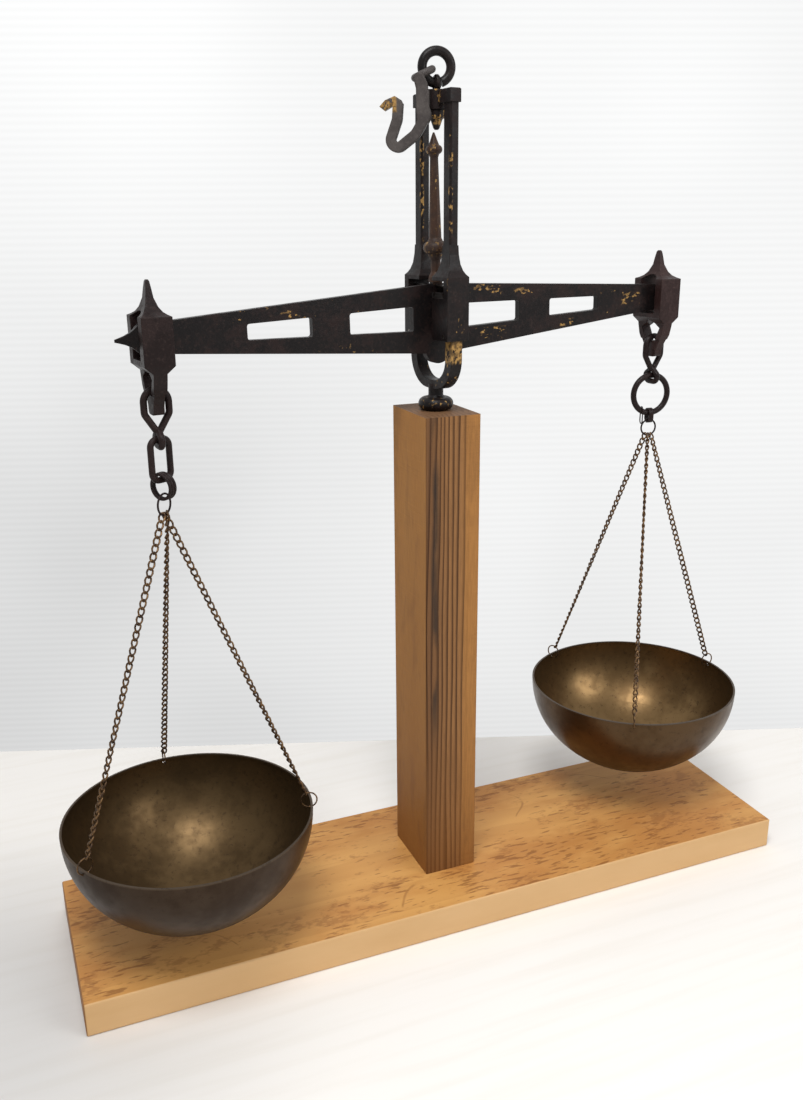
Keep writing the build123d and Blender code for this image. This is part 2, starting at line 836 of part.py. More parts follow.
def make_shackle(hanger, side):
    name = "left" if side < 0 else "right"
    rise = spire_height - plate_top
    drop = bar_bottom - shoulder
    eyelet = (
        (eyelet_half_width, -shoulder - eyelet_widest),
        (seat_half_width + seat_corner, -bar_top + seat_corner),
        (seat_half_width, -bar_top),
    )
    half_outline = [(plate_half_depth - shoulder_step, -shoulder)]
    half_outline += [(plate_half_depth * width, -shoulder - drop * step) for step, width in leg_steps]
    with BuildPart() as shackle:
        with BuildSketch(level(hanger, -plate_bottom)):
            Rectangle(2 * plate_half_width, 2 * plate_half_depth)
        extrude(amount=plate_top + plate_bottom)
        for step, share in spire_steps:
            with BuildSketch(level(hanger, plate_top + rise * step)):
                Rectangle(2 * plate_half_width * share, 2 * plate_half_depth * share)
        loft(ruled=True)
        with BuildSketch(level(hanger, -plate_bottom)):
            Rectangle(2 * plate_half_width, 2 * plate_half_depth)
        with BuildSketch(level(hanger, -shoulder)):
            Rectangle(2 * shackle_leg, 2 * (plate_half_depth - shoulder_step))
        loft(ruled=True)
        with BuildSketch(endwise(hanger, -shackle_leg)) as bow:
            with BuildLine():
                Polyline(*half_outline, *mirrored(half_outline), close=True)
            make_face()
            fillet(bow.vertices().sort_by(Axis.Y)[:2], leg_corner)
        extrude(amount=2 * shackle_leg)
        with BuildSketch(endwise(hanger, -plate_half_width)):
            with BuildLine():
                Polyline(
                    (plate_inner, plate_top),
                    (plate_inner, -web_top),
                    (-plate_inner, -web_top),
                    (-plate_inner, plate_top),
                )
                ThreePointArc((-plate_inner, plate_top), (0, plate_top + arch_rise), (plate_inner, plate_top))
            make_face()
            with BuildLine():
                Polyline((0, -shoulder + eyelet_peak), *eyelet, *mirrored(eyelet), close=True)
            make_face()
        extrude(amount=2 * plate_half_width, mode=Mode.SUBTRACT)
        with BuildSketch(level(hanger, -bar_bottom)):
            for end in (-1, 1):
                with Locations((end * (bar_half_width + shackle_leg / 2), 0)):
                    Rectangle(shackle_leg, 2 * plate_half_depth)
        extrude(amount=bar_bottom - bar_top + seat_corner, mode=Mode.SUBTRACT)
        with BuildSketch(level(hanger, -knife_height - pocket_below)):
            Rectangle(2 * pocket_half_width, 2 * (plate_inner + pocket_depth))
        extrude(amount=knife_height + pocket_below + pocket_height, mode=Mode.SUBTRACT)
    finish(shackle.part, f"{name}_shackle")

    bearing = pocket_depth - hang_gap
    with BuildPart() as bearings:
        for end in (-1, 1):
            depth = end * (plate_inner + hang_gap + bearing / 2)
            with BuildSketch(facing(hanger, depth + bearing / 2)):
                with BuildLine():
                    Polyline(
                        (0, edge_gap),
                        (pocket_half_width, -bearing_lip),
                        (pocket_half_width, pocket_height),
                        (-pocket_half_width, pocket_height),
                        (-pocket_half_width, -bearing_lip),
                        close=True,
                    )
                make_face()
            extrude(amount=bearing)
    finish(bearings.part, f"{name}_shackle_bearings")


def make_twist_link(hanger, side):
    """Figure-eight link with its lower loop turned a quarter turn; returns its lowest height."""
    name = "left" if side < 0 else "right"
    seat = seat_depth(twist_upper_width / 2 - twist_wire, bar_half_width)
    top = hang_gap + seat - bar_top + twist_wire
    bottom = top - twist_length
    crossing = top - twist_wire / 2 - twist_crossing
    across = upright_frame(hanger.origin, scale_turn + 90)
    upper_loop = teardrop(hanger, twist_upper_width, top, crossing, 1)
    lower_loop = teardrop(across, twist_lower_width, bottom, crossing, -1)
    with BuildPart() as twist_link:
        add(upper_loop)
        add(lower_loop)
    finish(twist_link.part, f"{name}_twist_link")
    return bottom


def make_left_rings(hanger, link_bottom):
    """Oval link, coil and chain ring of the left side; returns the chain ring's lowest height."""
    oval_frame = upright_frame(hanger.origin, oval_turn)
    oval_top = link_bottom + twist_wire + hang_gap + oval_wire
    oval_link = bent_loop(oval_frame, oval_width, oval_top, oval_top - oval_length, oval_wire, oval_bend)
    finish(oval_link, "left_oval_link")

    inner_bottom = oval_top - oval_length + oval_wire
    coil_radius = (coil_diameter - coil_wire) / 2
    coil_centre = inner_bottom + coil_seat + hang_gap + coil_wire / 2 - coil_radius
    coil_frame = upright_frame(hanger.origin, coil_turn)
    start = coil_frame.from_local_coords(Vector(-coil_turns * coil_pitch / 2, 0, coil_centre))
    coil_plane = Plane(origin=start, x_dir=up, z_dir=coil_frame.x_dir)

    def coil_point(quarters):
        angle = radians(90 * quarters)
        return (coil_radius * cos(angle), coil_radius * sin(angle), coil_pitch * quarters / 4)

    with BuildPart() as left_split_ring:
        with BuildLine(coil_plane) as path:
            for quarter in range(round(4 * coil_turns)):
                ThreePointArc(coil_point(quarter), coil_point(quarter + 0.5), coil_point(quarter + 1))
        with BuildSketch(Plane(origin=path.line @ 0, z_dir=path.line % 0)):
            Circle(coil_wire / 2)
        sweep(path=path.wires()[0])
    finish(left_split_ring.part, "left_split_ring")
    print("least gap between the turns of the split ring", round(coil_pitch - coil_wire, 2))

    coil_floor = coil_centre - coil_radius + coil_wire / 2
    half_bundle = (coil_turns * coil_pitch + coil_wire) / 2
    inner_radius = left_ring_diameter / 2 - chain_ring_wire
    ring_top = coil_floor + seat_depth(inner_radius, half_bundle) + hang_gap + chain_ring_wire
    return ring_top


def make_right_rings(hanger, link_bottom):
    """Big ring, strap and thin wire loop of the right side; returns the chain ring's top."""
    ring_plane_frame = upright_frame(hanger.origin, big_ring_turn)
    ring_top = link_bottom + twist_wire + hang_gap + big_ring_wire
    mean_radius = (big_ring_diameter - big_ring_wire) / 2
    with BuildPart(facing(ring_plane_frame, 0, ring_top - big_ring_diameter / 2)) as right_big_ring:
        Torus(mean_radius, big_ring_wire / 2)
    finish(right_big_ring.part, "right_big_ring")

    inner_radius = mean_radius - big_ring_wire / 2
    inner_bottom = ring_top - big_ring_diameter + big_ring_wire
    strap_top = inner_bottom + seat_depth(inner_radius, strap_width / 2) + hang_gap + strap_thickness
    with BuildPart() as right_strap:
        with BuildSketch(endwise(ring_plane_frame, -strap_width / 2)):
            with Locations((0, strap_top - strap_height / 2)):
                SlotOverall(strap_height, strap_depth, rotation=90)
                SlotOverall(
                    strap_height - 2 * strap_thickness,
                    strap_depth - 2 * strap_thickness,
                    rotation=90,
                    mode=Mode.SUBTRACT,
                )
        extrude(amount=strap_width)
    finish(right_strap.part, "right_strap")

    place = radians(loop_place)
    reach = inner_radius - hang_gap - loop_wire / 2
    hang_point = ring_plane_frame.from_local_coords(
        Vector(reach * cos(place), 0, ring_top - big_ring_diameter / 2 + reach * sin(place))
    )
    loop_frame = upright_frame(hang_point, big_ring_turn + loop_turn)
    loop_top = loop_wire / 2
    wire_loop = bent_loop(loop_frame, loop_width, loop_top, loop_top - loop_length, loop_wire, loop_bend)
    finish(wire_loop, "right_wire_loop")

    strap_floor = strap_top - strap_height + strap_thickness
    chain_ring_inner = right_ring_diameter / 2 - chain_ring_wire
    return strap_floor + seat_depth(chain_ring_inner, strap_width / 2) + hang_gap + chain_ring_wire


def make_chain_link(length):
    """One oval link lying in the XY plane, long way along Y."""
    half = (length - link_wire) / 2
    bend = (link_width - link_wire) / 2
    straight = half - bend
    with BuildPart() as link:
        with BuildSketch(Plane.XZ):
            with Locations((bend, 0), (-bend, 0)):
                Circle(link_wire / 2)
        extrude(amount=straight, both=True)
        for end in (1, -1):
            with BuildSketch(Plane.XZ.offset(-end * straight)):
                with Locations((bend, 0)):
                    Circle(link_wire / 2)
            revolve(axis=Axis((0, end * straight, 0), (0, 0, 1)), revolution_arc=end * 180)
    return link.part


def make_chain(name, top, across_top, bottom, across_bottom, top_wire, bottom_wire):
    """Chain between two wires: each link a quarter turn from the last, with a slow twist."""
    run = bottom - top
    along = run.normalized()
    first = (top_wire + link_wire) / 2 + hang_gap
    last = (bottom_wire + link_wire) / 2 + hang_gap
    reach = run.length + first + last
    overlap = link_wire + hang_gap
    count = ceil((reach - overlap) / link_pitch)
    pitch = (reach - overlap) / count
    link = make_chain_link(pitch + overlap + link_wire)
    start = (across_top - along * across_top.dot(along)).normalized()
    sideways = along.cross(start)
    end = (across_bottom - along * across_bottom.dot(along)).normalized()
    turn = degrees(atan2(end.dot(sideways), end.dot(start)))
    twist = (turn - 90 * (count - 1) + 90) % 180 - 90
    places = []
    for index in range(count):
        angle = radians(90 * index + twist * index / (count - 1))
        across = start * cos(angle) + sideways * sin(angle)
        centre = top + along * (-first + (pitch + overlap) / 2 + pitch * index)
        places.append(Plane(origin=centre, x_dir=across, z_dir=across.cross(along)).location)
    with BuildPart() as chain:
        with Locations(*places):
            add(link)
    finish(chain.part, name)


def bowl_arcs(radius, depth):
    """Two tangent arcs from a bowl's bottom up its side: both radii, the first one's angle, the height."""
    height = min(depth, radius * round_share)
    side_radius = height * side_share
    reach = radius - side_radius
    base_radius = (reach**2 + height**2 - side_radius**2) / (2 * (height - side_radius))
    angle = degrees(atan2(reach, base_radius - height))
    return base_radius, side_radius, angle, height


def make_bowl_set(hanger, side, ring_top, ring_diameter, ring_turn, anchors):
    """Chain ring, three chains, three rim rings and the bowl of one side."""
    name = "left" if side < 0 else "right"
    mean_radius = (ring_diameter - chain_ring_wire) / 2
    ring_centre = ring_top - ring_diameter / 2
    chain_frame = upright_frame(hanger.origin, ring_turn)
    with BuildPart(facing(chain_frame, 0, ring_centre)) as chain_ring:
        Torus(mean_radius, chain_ring_wire / 2)
    finish(chain_ring.part, f"{name}_chain_ring")

    rim = -rim_drop
    outer_bottom = rim - bowl_depth
    wall_inside = bowl_radius - bowl_wall
    outer = bowl_arcs(bowl_radius, bowl_depth)
    inner_depth = bowl_depth - bowl_wall - rim_height
    inner = bowl_arcs(wall_inside, inner_depth)
    with BuildPart() as bowl:
        with BuildSketch(endwise(hanger)):
            with BuildLine():
                base = JernArc((0, outer_bottom), (1, 0), outer[0], outer[2])
                JernArc(base @ 1, base % 1, outer[1], 90 - outer[2])
                if bowl_depth > outer[3]:
                    Line((bowl_radius, outer_bottom + outer[3]), (bowl_radius, rim))
                Line((bowl_radius, rim), (bowl_radius - rim_thickness, rim))
                Line((bowl_radius - rim_thickness, rim), (bowl_radius - rim_thickness, rim - rim_height))
                Line((bowl_radius - rim_thickness, rim - rim_height), (wall_inside, rim - rim_height))
                floor = JernArc((0, outer_bottom + bowl_wall), (1, 0), inner[0], inner[2])
                JernArc(floor @ 1, floor % 1, inner[1], 90 - inner[2])
                if inner_depth > inner[3]:
                    Line((wall_inside, outer_bottom + bowl_wall + inner[3]), (wall_inside, rim - rim_height))
                Line((0, outer_bottom + bowl_wall), (0, outer_bottom))
            make_face()
        revolve(axis=Axis(tuple(hanger.origin), (0, 0, 1)))
        for anchor in anchors:
            spoke = upright_frame(hanger.origin, anchor)
            with BuildSketch(endwise(spoke, bowl_radius - drill_reach)):
                with Locations((0, rim - hole_drop)):
                    Circle(hole_diameter / 2)
            extrude(amount=2 * drill_reach, mode=Mode.SUBTRACT)
    finish(bowl.part, f"{name}_bowl")

    rim_mean = (rim_ring_diameter - rim_ring_wire) / 2
    order = sorted(range(3), key=lambda i: cos(radians(anchors[i] - ring_turn)))
    rim_rings = []
    for index, anchor in enumerate(anchors):
        step = order.index(index) - 1
        hole_radius = bowl_radius - bowl_wall / 2
        hole = upright_frame(hanger.origin, anchor).from_local_coords(Vector(hole_radius, 0, rim - hole_drop))
        around = step * chain_spacing / mean_radius
        top = chain_frame.from_local_coords(
            Vector(mean_radius * sin(around), 0, ring_centre - mean_radius * cos(around))
        )
        wire_direction = chain_frame.x_dir * cos(around) + up * sin(around)
        line = (top - hole).normalized()
        tangent = heading(anchor + 90)
        rim_rings.append((hole + line * rim_mean, line, tangent))
        ring_end = hole + line * (2 * rim_mean)
        across_top = line.cross(wire_direction)
        chain_name = f"{name}_chain_{index + 1}"
        make_chain(chain_name, top, across_top, ring_end, tangent, chain_ring_wire, rim_ring_wire)
    with BuildPart() as rings:
        for centre, line, tangent in rim_rings:
            with BuildSketch(Plane(origin=centre + line * rim_mean, x_dir=line, z_dir=tangent.cross(line))):
                Circle(rim_ring_wire / 2)
            revolve(axis=Axis(tuple(centre), tuple(tangent)))
    finish(rings.part, f"{name}_rim_rings")


make_board()
make_post()
make_stand_fasteners()
make_bow()
make_shear(-1, "front_shear")
make_shear(1, "back_shear")
make_cheek_fittings()
make_cap()
make_swivel()
make_ring()
make_hook()
make_beam()
make_knife(beam_frame, fulcrum_length, 1, "fulcrum_knife")
make_knife(end_frame(-1), end_knife_length, -1, "left_end_knife")
make_knife(end_frame(1), end_knife_length, -1, "right_end_knife")
make_pointer()

for side in (-1, 1):
    hanger = upright_frame(end_frame(side).origin, scale_turn)
    print("end knife edge", [round(value, 3) for value in hanger.origin])
    make_shackle(hanger, side)
    link_bottom = make_twist_link(hanger, side)
    if side < 0:
        ring_top = make_left_rings(hanger, link_bottom)
        make_bowl_set(hanger, side, ring_top, left_ring_diameter, left_ring_turn, left_anchors)
    else:
        ring_top = make_right_rings(hanger, link_bottom)
        make_bowl_set(hanger, side, ring_top, right_ring_diameter, right_ring_turn, right_anchors)
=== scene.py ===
# %% [markdown]
# # A balance scale, dressed
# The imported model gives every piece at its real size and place. This lesson gives the pieces their
# finish: old pine and fir, black cast iron worn brown, forged links, tarnished brass. It also makes
# the six chains link by link. Lengths are metres, +Z is up, and the viewer looks along +Y.

# %% Load the frame
import json
from math import cos, pi, radians, sin

import bpy
from mathutils import Matrix, Vector


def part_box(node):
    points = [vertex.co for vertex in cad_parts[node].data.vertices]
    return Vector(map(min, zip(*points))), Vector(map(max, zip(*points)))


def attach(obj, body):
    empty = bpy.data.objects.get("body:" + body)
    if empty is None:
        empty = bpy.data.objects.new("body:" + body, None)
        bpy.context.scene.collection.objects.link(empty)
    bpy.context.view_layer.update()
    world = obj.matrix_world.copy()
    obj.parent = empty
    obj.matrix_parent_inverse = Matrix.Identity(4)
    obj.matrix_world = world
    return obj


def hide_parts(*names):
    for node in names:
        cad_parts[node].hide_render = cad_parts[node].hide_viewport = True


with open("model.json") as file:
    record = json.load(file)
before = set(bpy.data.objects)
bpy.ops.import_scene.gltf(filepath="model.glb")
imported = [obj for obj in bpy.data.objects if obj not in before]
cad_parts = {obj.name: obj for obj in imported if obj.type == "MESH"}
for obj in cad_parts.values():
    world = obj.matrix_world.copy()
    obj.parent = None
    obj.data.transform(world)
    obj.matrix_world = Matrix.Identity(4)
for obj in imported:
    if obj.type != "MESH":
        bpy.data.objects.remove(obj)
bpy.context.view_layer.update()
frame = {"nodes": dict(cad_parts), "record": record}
NODES = frame["nodes"]
BODIES = frame["record"]["behaviour"]["bodies"]
BODY_OF = {node: body for body, nodes in BODIES.items() for node in nodes}
SLOT_OF = {part["node"]: part["material_slot"] for part in frame["record"]["subparts"]}
MM = 0.001
print("pieces in the frame:", len(NODES))

# %% [markdown]
# ## The camera
# A photograph is matched by placing the camera where the photographer stood. The camera looks a
# little down, stands left of the middle, and is turned by a fraction of a degree about its own axis.
# Its matrix is made from its sight line, its right-hand direction and its up direction.

# %% Camera
CAMERA_PLACE = Vector((-0.42513, -0.95077, 0.72919))
CAMERA_TURN = radians(22.331)
CAMERA_TILT = radians(-17.639)
CAMERA_ROLL = radians(-0.471)
CAMERA_LENS = 34.098
SENSOR_WIDTH = 36


def make_camera():
    """Camera at the photographer's place, aimed by turn, tilt and roll."""
    sight = Vector(
        (
            sin(CAMERA_TURN) * cos(CAMERA_TILT),
            cos(CAMERA_TURN) * cos(CAMERA_TILT),
            sin(CAMERA_TILT),
        )
    )
    level = Vector((cos(CAMERA_TURN), -sin(CAMERA_TURN), 0))
    above = level.cross(sight)
    right = level * cos(CAMERA_ROLL) + above * sin(CAMERA_ROLL)
    up = above * cos(CAMERA_ROLL) - level * sin(CAMERA_ROLL)
    data = bpy.data.cameras.new("camera")
    data.lens = CAMERA_LENS
    data.sensor_width = SENSOR_WIDTH
    camera = bpy.data.objects.new("camera", data)
    bpy.context.scene.collection.objects.link(camera)
    aim = Matrix((right, up, -sight)).transposed().to_4x4()
    camera.matrix_world = Matrix.Translation(CAMERA_PLACE) @ aim
    bpy.context.scene.camera = camera


make_camera()
print("camera stands", round(-CAMERA_PLACE.y, 2), "m in front of the scale")

# %% [markdown]
# ## Small helpers for node trees
# Materials and geometry are both node trees. One helper adds a node and fills its inputs, where a
# value may be a number or another node's output. The others add the nodes that are needed most
# often, and give back an output, so that calls can be put inside one another.

# %% Node helpers
def add(tree, kind, inputs=None, **settings):
    """Add a node; inputs maps a socket's name or number to a value or to another node's output."""
    node = tree.nodes.new(kind)
    for name, value in settings.items():
        setattr(node, name, value)
    for key, value in (inputs or {}).items():
        socket = node.inputs[key]
        if isinstance(value, bpy.types.NodeSocket):
            tree.links.new(value, socket)
        else:
            socket.default_value = value
    return node


def calc(tree, operation, first, second=0.0, third=0.0):
    """Arithmetic on numbers."""
    return add(tree, "ShaderNodeMath", {0: first, 1: second, 2: third}, operation=operation).outputs[0]


def vector_calc(tree, operation, first, second=(0.0, 0.0, 0.0)):
    """Arithmetic on vectors; a dot product or a distance is a number."""
    node = add(tree, "ShaderNodeVectorMath", {0: first, 1: second}, operation=operation)
    return node.outputs["Value" if operation in ("DOT_PRODUCT", "DISTANCE") else "Vector"]


def separate(tree, vector):
    """The three numbers of a vector."""
    return tuple(add(tree, "ShaderNodeSeparateXYZ", {0: vector}).outputs)


def ramp(tree, value, low, high, start=0.0, end=1.0):
    """Smooth step from start to end while a value goes from low to high."""
    inputs = {"Value": value, "From Min": low, "From Max": high, "To Min": start, "To Max": end}
    return add(tree, "ShaderNodeMapRange", inputs, interpolation_type="SMOOTHSTEP").outputs[0]


def mix_colour(tree, amount, first, second):
    """Mix of two colours, each one (r, g, b) or an output."""
    first, second = ((*colour, 1) if isinstance(colour, tuple) else colour for colour in (first, second))
    node = add(tree, "ShaderNodeMix", {0: amount, 6: first, 7: second}, data_type="RGBA")
    return node.outputs[2]


def stretched(tree, place, scale):
    """Coordinates scaled along each axis."""
    return add(tree, "ShaderNodeMapping", {"Vector": place, "Scale": scale}).outputs[0]


def noise(tree, place, scale, detail=3.0):
    """Noise between 0 and 1."""
    inputs = {"Vector": place, "Scale": scale, "Detail": detail}
    return add(tree, "ShaderNodeTexNoise", inputs).outputs[0]


def new_group(name, inputs, outputs, kind="ShaderNodeTree"):
    """Node group with named sockets; inputs are (name, type, default)."""
    tree = bpy.data.node_groups.new(name, kind)
    for socket_name, socket_type, default in inputs:
        socket = tree.interface.new_socket(socket_name, in_out="INPUT", socket_type=socket_type)
        if default is not None:
            socket.default_value = default
    for socket_name, socket_type in outputs:
        tree.interface.new_socket(socket_name, in_out="OUTPUT", socket_type=socket_type)
    return tree, tree.nodes.new("NodeGroupInput").outputs, tree.nodes.new("NodeGroupOutput").inputs


def use_group(tree, group, inputs):
    """Put a shared effect in a tree, fill its inputs, and return its outputs."""
    return add(tree, "ShaderNodeGroup", inputs, node_tree=group).outputs


print("helpers ready")

# %% [markdown]
# ## Shared effects
# Five effects turn up again and again here: patches, where a finish is darker or worn through; worn
# edges, where hands and use have taken the paint off; wood grain; zones, soft boxes that say where
# something happens; and gilding, the flecks that are left of gold paint. Patches are two noises of
# different size, added. Edges are found with the Bevel node, whose normal differs from the
# surface's own normal only near an edge. Grain is the distance from the middle of a tree.

# %% Patches
def make_patches():
    inputs = (
        ("Vector", "NodeSocketVector", None),
        ("Scale", "NodeSocketFloat", 40.0),
        ("Fine", "NodeSocketFloat", 0.35),
        ("From", "NodeSocketFloat", 0.45),
        ("To", "NodeSocketFloat", 0.6),
    )
    tree, give, take = new_group("patches", inputs, (("Mask", "NodeSocketFloat"),))
    broad = noise(tree, give["Vector"], give["Scale"], 4.0)
    fine = noise(tree, give["Vector"], calc(tree, "MULTIPLY", give["Scale"], 6.3))
    centred = calc(tree, "SUBTRACT", fine, 0.5)
    total = calc(tree, "MULTIPLY_ADD", centred, give["Fine"], broad)
    tree.links.new(ramp(tree, total, give["From"], give["To"]), take["Mask"])
    return tree


patches_group = make_patches()
print("patches takes", [socket.name for socket in patches_group.interface.items_tree])

# %% Worn edges
EDGE_START = 0.995
EDGE_FULL = 0.86


def make_worn_edges():
    inputs = (("Radius", "NodeSocketFloat", 0.0012), ("Breakup", "NodeSocketFloat", 0.5))
    outputs = (("Mask", "NodeSocketFloat"), ("Normal", "NodeSocketVector"))
    tree, give, take = new_group("worn edges", inputs, outputs)
    rounded = add(tree, "ShaderNodeBevel", {"Radius": give["Radius"]}, samples=4).outputs[0]
    flat = add(tree, "ShaderNodeNewGeometry").outputs["Normal"]
    edge = ramp(tree, vector_calc(tree, "DOT_PRODUCT", rounded, flat), EDGE_START, EDGE_FULL)
    grit = noise(tree, add(tree, "ShaderNodeTexCoord").outputs["Object"], 170.0, 4.0)
    missing = calc(tree, "SUBTRACT", ramp(tree, grit, 0.38, 0.62), 1.0)
    kept = calc(tree, "MULTIPLY_ADD", missing, give["Breakup"], 1.0)
    tree.links.new(calc(tree, "MULTIPLY", edge, kept), take["Mask"])
    tree.links.new(rounded, take["Normal"])
    return tree


edges_group = make_worn_edges()
print("worn edges has", len(edges_group.nodes), "nodes")

# %% Wood grain
def make_grain():
    """Growth rings about the Z axis, stretched along it: dark late wood from Sharpness to 1."""
    inputs = (
        ("Vector", "NodeSocketVector", None),
        ("Ring", "NodeSocketFloat", 0.006),
        ("Wobble", "NodeSocketFloat", 0.003),
        ("Sharpness", "NodeSocketFloat", 0.7),
    )
    outputs = (("Rings", "NodeSocketFloat"), ("Fibre", "NodeSocketFloat"))
    tree, give, take = new_group("grain", inputs, outputs)
    long_way = stretched(tree, give["Vector"], (1.0, 1.0, 0.06))
    across, deep, _ = separate(tree, long_way)
    squared = calc(tree, "MULTIPLY_ADD", deep, deep, calc(tree, "POWER", across, 2.0))
    wave = calc(tree, "SUBTRACT", noise(tree, long_way, 22.0), 0.5)
    offset = calc(tree, "MULTIPLY", wave, give["Wobble"])
    radius = calc(tree, "ADD", calc(tree, "SQRT", squared), offset)
    year = calc(tree, "FRACT", calc(tree, "DIVIDE", radius, give["Ring"]))
    late = ramp(tree, year, give["Sharpness"], 0.93)
    early_end = ramp(tree, year, 1.0, 0.94)
    tree.links.new(calc(tree, "MULTIPLY", late, early_end), take["Rings"])
    tree.links.new(noise(tree, long_way, 900.0), take["Fibre"])
    return tree


grain_group = make_grain()
print("grain ready")

# %% Zones and gilding
def make_zone():
    """Mask of a box with a soft skin: 1 inside, 0 outside."""
    inputs = (
        ("Vector", "NodeSocketVector", None),
        ("Centre", "NodeSocketVector", None),
        ("Half Size", "NodeSocketVector", None),
        ("Softness", "NodeSocketFloat", 0.3),
    )
    tree, give, take = new_group("zone", inputs, (("Mask", "NodeSocketFloat"),))
    away = vector_calc(tree, "SUBTRACT", give["Vector"], give["Centre"])
    share = vector_calc(tree, "DIVIDE", away, give["Half Size"])
    x, y, z = separate(tree, vector_calc(tree, "ABSOLUTE", share))
    largest = calc(tree, "MAXIMUM", calc(tree, "MAXIMUM", x, y), z)
    full = calc(tree, "SUBTRACT", 1.0, give["Softness"])
    tree.links.new(ramp(tree, largest, 1.0, full), take["Mask"])
    return tree


def make_gilding():
    """Flecks of gold paint; an amount of 1 covers most of its zone and 0.3 leaves a few flecks."""
    inputs = (
        ("Vector", "NodeSocketVector", None),
        ("Zone", "NodeSocketFloat", 1.0),
        ("Amount", "NodeSocketFloat", 0.5),
    )
    tree, give, take = new_group("gilding", inputs, (("Mask", "NodeSocketFloat"),))
    fine = noise(tree, give["Vector"], 380.0, 5.0)
    broad = noise(tree, give["Vector"], 110.0, 2.0)
    mixed = calc(tree, "MULTIPLY_ADD", fine, 0.6, calc(tree, "MULTIPLY", broad, 0.4))
    least = calc(tree, "MULTIPLY_ADD", give["Amount"], -0.22, 0.66)
    flecks = ramp(tree, calc(tree, "SUBTRACT", mixed, least), 0.0, 0.035)
    tree.links.new(calc(tree, "MULTIPLY", flecks, give["Zone"]), take["Mask"])
    return tree


zone_group = make_zone()
gilding_group = make_gilding()
print("zones and gilding ready")

# %% [markdown]
# ## Materials
# Each material starts the same way: a Principled shader and the object's own coordinates. Every
# finished piece has its origin at the frame's origin, so these coordinates are the real place on the
# scale, in metres, and a pattern stays on its piece when the piece moves.

# %% Start of a material
def start_material(name, metallic=0.0, roughness=0.5, specular=0.5):
    """New material: its tree, its Principled shader and its object coordinates."""
    material = bpy.data.materials.new(name)
    material.use_nodes = True
    tree = material.node_tree
    shader = tree.nodes["Principled BSDF"]
    shader.inputs["Metallic"].default_value = metallic
    shader.inputs["Roughness"].default_value = roughness
    shader.inputs["Specular IOR Level"].default_value = specular
    place = add(tree, "ShaderNodeTexCoord").outputs["Object"]
    return material, tree, shader, place


def patches(tree, place, scale, low, high, fine=0.35):
    """Mask of the shared patches effect."""
    inputs = {"Vector": place, "Scale": scale, "From": low, "To": high, "Fine": fine}
    return use_group(tree, patches_group, inputs)["Mask"]


def zone(tree, place, centre, half_size):
    """Mask of a soft box; centre and half size are in millimetres."""
    inputs = {
        "Vector": place,
        "Centre": [value * MM for value in centre],
        "Half Size": [value * MM for value in half_size],
    }
    return use_group(tree, zone_group, inputs)["Mask"]


def paint(tree, colour, mask, amount, over):
    """Lay a colour over another where a mask is, at most by an amount."""
    return mix_colour(tree, calc(tree, "MULTIPLY", mask, amount), colour, over)


def bump(tree, shader, height, strength, distance, normal=None):
    """Bump the shader's normal by a height."""
    inputs = {"Height": height, "Strength": strength, "Distance": distance}
    if normal is not None:
        inputs["Normal"] = normal
    tree.links.new(add(tree, "ShaderNodeBump", inputs).outputs[0], shader.inputs["Normal"])


print("materials start from", "Principled BSDF")

# %% [markdown]
# ## Black and brown iron
# The stand's castings and the beam were japanned black and trimmed with gold paint. The black has
# gone plum brown in patches, and the gold is left in flecks: a patch on the bow, dashes down the
# corners of the uprights, specks on the knob and along the beam. Each place is a soft box with its
# own amount of gold. The shackles and links are plain brown iron, and the right shackle is lighter.

# %% Iron
GOLD = (0.38, 0.222, 0.072)
OLD_GOLD = (0.125, 0.075, 0.031)
SCALE_TURN = radians(7)
REST_TILT = radians(-1.2)
FULCRUM = (4 * MM, 0, 661 * MM)
IRON_WEAR = 0.4
IRON_SPECULAR = 0.18


